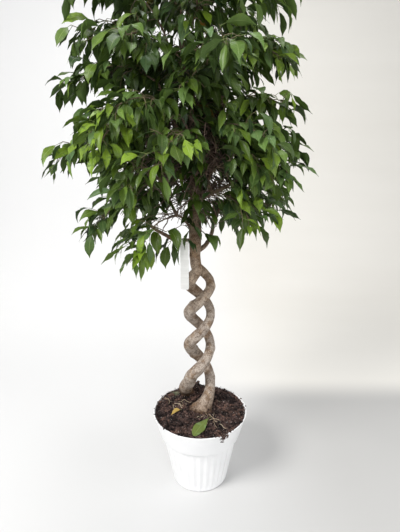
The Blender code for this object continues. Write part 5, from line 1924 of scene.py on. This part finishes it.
def backdrop_material():
    """Pale studio cloth with painted light and shade: whiter on the left, painted shade on the floor to the
    right and painted shade of soft folds.
    """
    make = Shader("backdrop", Specular_IOR_Level=0.1)
    place = make.position()
    side, depth, _ = make.parts(place)
    # Painted shade of soft folds in the cloth
    fold_shade = make.noise(make.stretched(place, (0.35, 1.0, 2.2)), 1.6, 4.0, 0.55)
    wall = make.blend(fold_shade, (0.760, 0.738, 0.690), (0.830, 0.812, 0.770))
    # Painted shade: the floor on the right is much darker than the wall
    floor = make.blend(fold_shade, (0.430, 0.426, 0.417), (0.490, 0.486, 0.477))
    right = make.blend(make.between(depth, 0.34, 0.52), floor, wall)
    left = make.blend(make.between(depth, 0.34, 1.6), (0.655, 0.655, 0.655), (0.87, 0.868, 0.865))
    # Painted light: whiter on the left, going over into the right side
    return make.finish(make.blend(make.between(side, -0.15, 0.45), left, right), 0.9)


# Stage, light and camera

def make_stage():
    """A pale floor that curves up into a wall far behind."""
    reach, bend, wall = 2.6, 1.2, 4.2
    profile = [(-4.5, 0.0), (0.0, 0.0), (reach - bend, 0.0)]
    for step in range(1, 13):
        angle = math.pi / 2 * step / 12
        profile.append((reach - bend + bend * math.sin(angle), bend - bend * math.cos(angle)))
    profile.append((reach, wall))
    surface = Surface()
    surface.add_sheet(np.array([[(x, y, z) for x in np.linspace(-5.0, 5.0, 9)] for y, z in profile]))
    floor = surface.make("studio_floor", [backdrop_material()])


def add_lamp(name, place, aim, size, power, colour=(1, 1, 1)):
    lamp = bpy.data.lights.new(name, "AREA")
    lamp.shape = "DISK"
    lamp.size = size
    lamp.energy = power
    lamp.color = colour
    thing = show(name, lamp)
    thing.location = place
    thing.rotation_euler = (Vector(aim) - Vector(place)).to_track_quat("-Z", "Y").to_euler()


def light_the_scene():
    add_lamp("key", (-1.7, -1.5, 2.6), (0.0, 0.0, 0.7), 1.3, 98.0, (1.0, 0.99, 0.97))
    add_lamp("front", (0.6, -2.6, 1.5), (0.0, 0.0, 0.6), 1.6, 29.0, (0.98, 0.99, 1.0))
    add_lamp("top", (0.2, 0.6, 3.0), (0.0, 0.2, 0.8), 1.6, 30.0)
    add_lamp("right", (2.2, -0.8, 1.3), (0.0, 0.0, 0.6), 1.6, 16.0)
    world = bpy.data.worlds.new("studio")
    world.use_nodes = True
    background = world.node_tree.nodes["Background"]
    background.inputs["Color"].default_value = (0.95, 0.97, 1.0, 1)
    background.inputs["Strength"].default_value = 0.38
    bpy.context.scene.world = world
    bpy.context.scene.view_settings.view_transform = "Standard"
    bpy.context.scene.view_settings.look = "None"


def place_camera():
    camera = bpy.data.cameras.new("camera")
    camera.sensor_fit = "VERTICAL"
    camera.sensor_height = FRAME_HEIGHT
    camera.lens = FOCAL_LENGTH
    thing = show("camera", camera)
    thing.location = CAMERA_PLACE
    thing.rotation_euler = (math.pi / 2 - CAMERA_PITCH, 0.0, 0.0)
    bpy.context.scene.camera = thing


def main():
    place_camera()
    make_stage()
    light_the_scene()
    leafy = [leaf_material("leaf", shaded_in_the_head=True), twig_material()]

    tubes, sprays = grow_tree()
    low, high = cad_box
    room = Vector((EDGE_ROOM, EDGE_ROOM, EDGE_ROOM))
    crowd = Crowd(low - room, high + room)
    make_foliage(sprays, crowd, leafy)
    for stem in tubes:
        make_inner_shoots(stem, tubes[stem], crowd, leafy)
    make_seen_shoots(crowd, leafy)
    make_bare_twigs(tubes, leafy[1:])
    bark = bark_material()
    for seed, stem in enumerate(tubes):
        make_stem_surface(stem, tubes[stem], seed + 1, [bark])
    make_pot_surface([pot_material()])
    make_soil_surface([soil_material()])
    make_label_surface([label_material()])
    make_fallen_surface("green_leaf", "green", GREEN_LEAF_FROM, GREEN_LEAF_TO, GREEN_LEAF_WIDTH,
                        GREEN_LEAF_SHAPE, leaf_material("fallen_green", coat=0.12), GREEN_LEAF_OUTLINE)
    make_fallen_surface("yellow_leaf", "yellow", YELLOW_LEAF_FROM, YELLOW_LEAF_TO, YELLOW_LEAF_WIDTH,
                        YELLOW_LEAF_SHAPE, leaf_material("fallen_yellow"), BLADE_OUTLINE)


main()
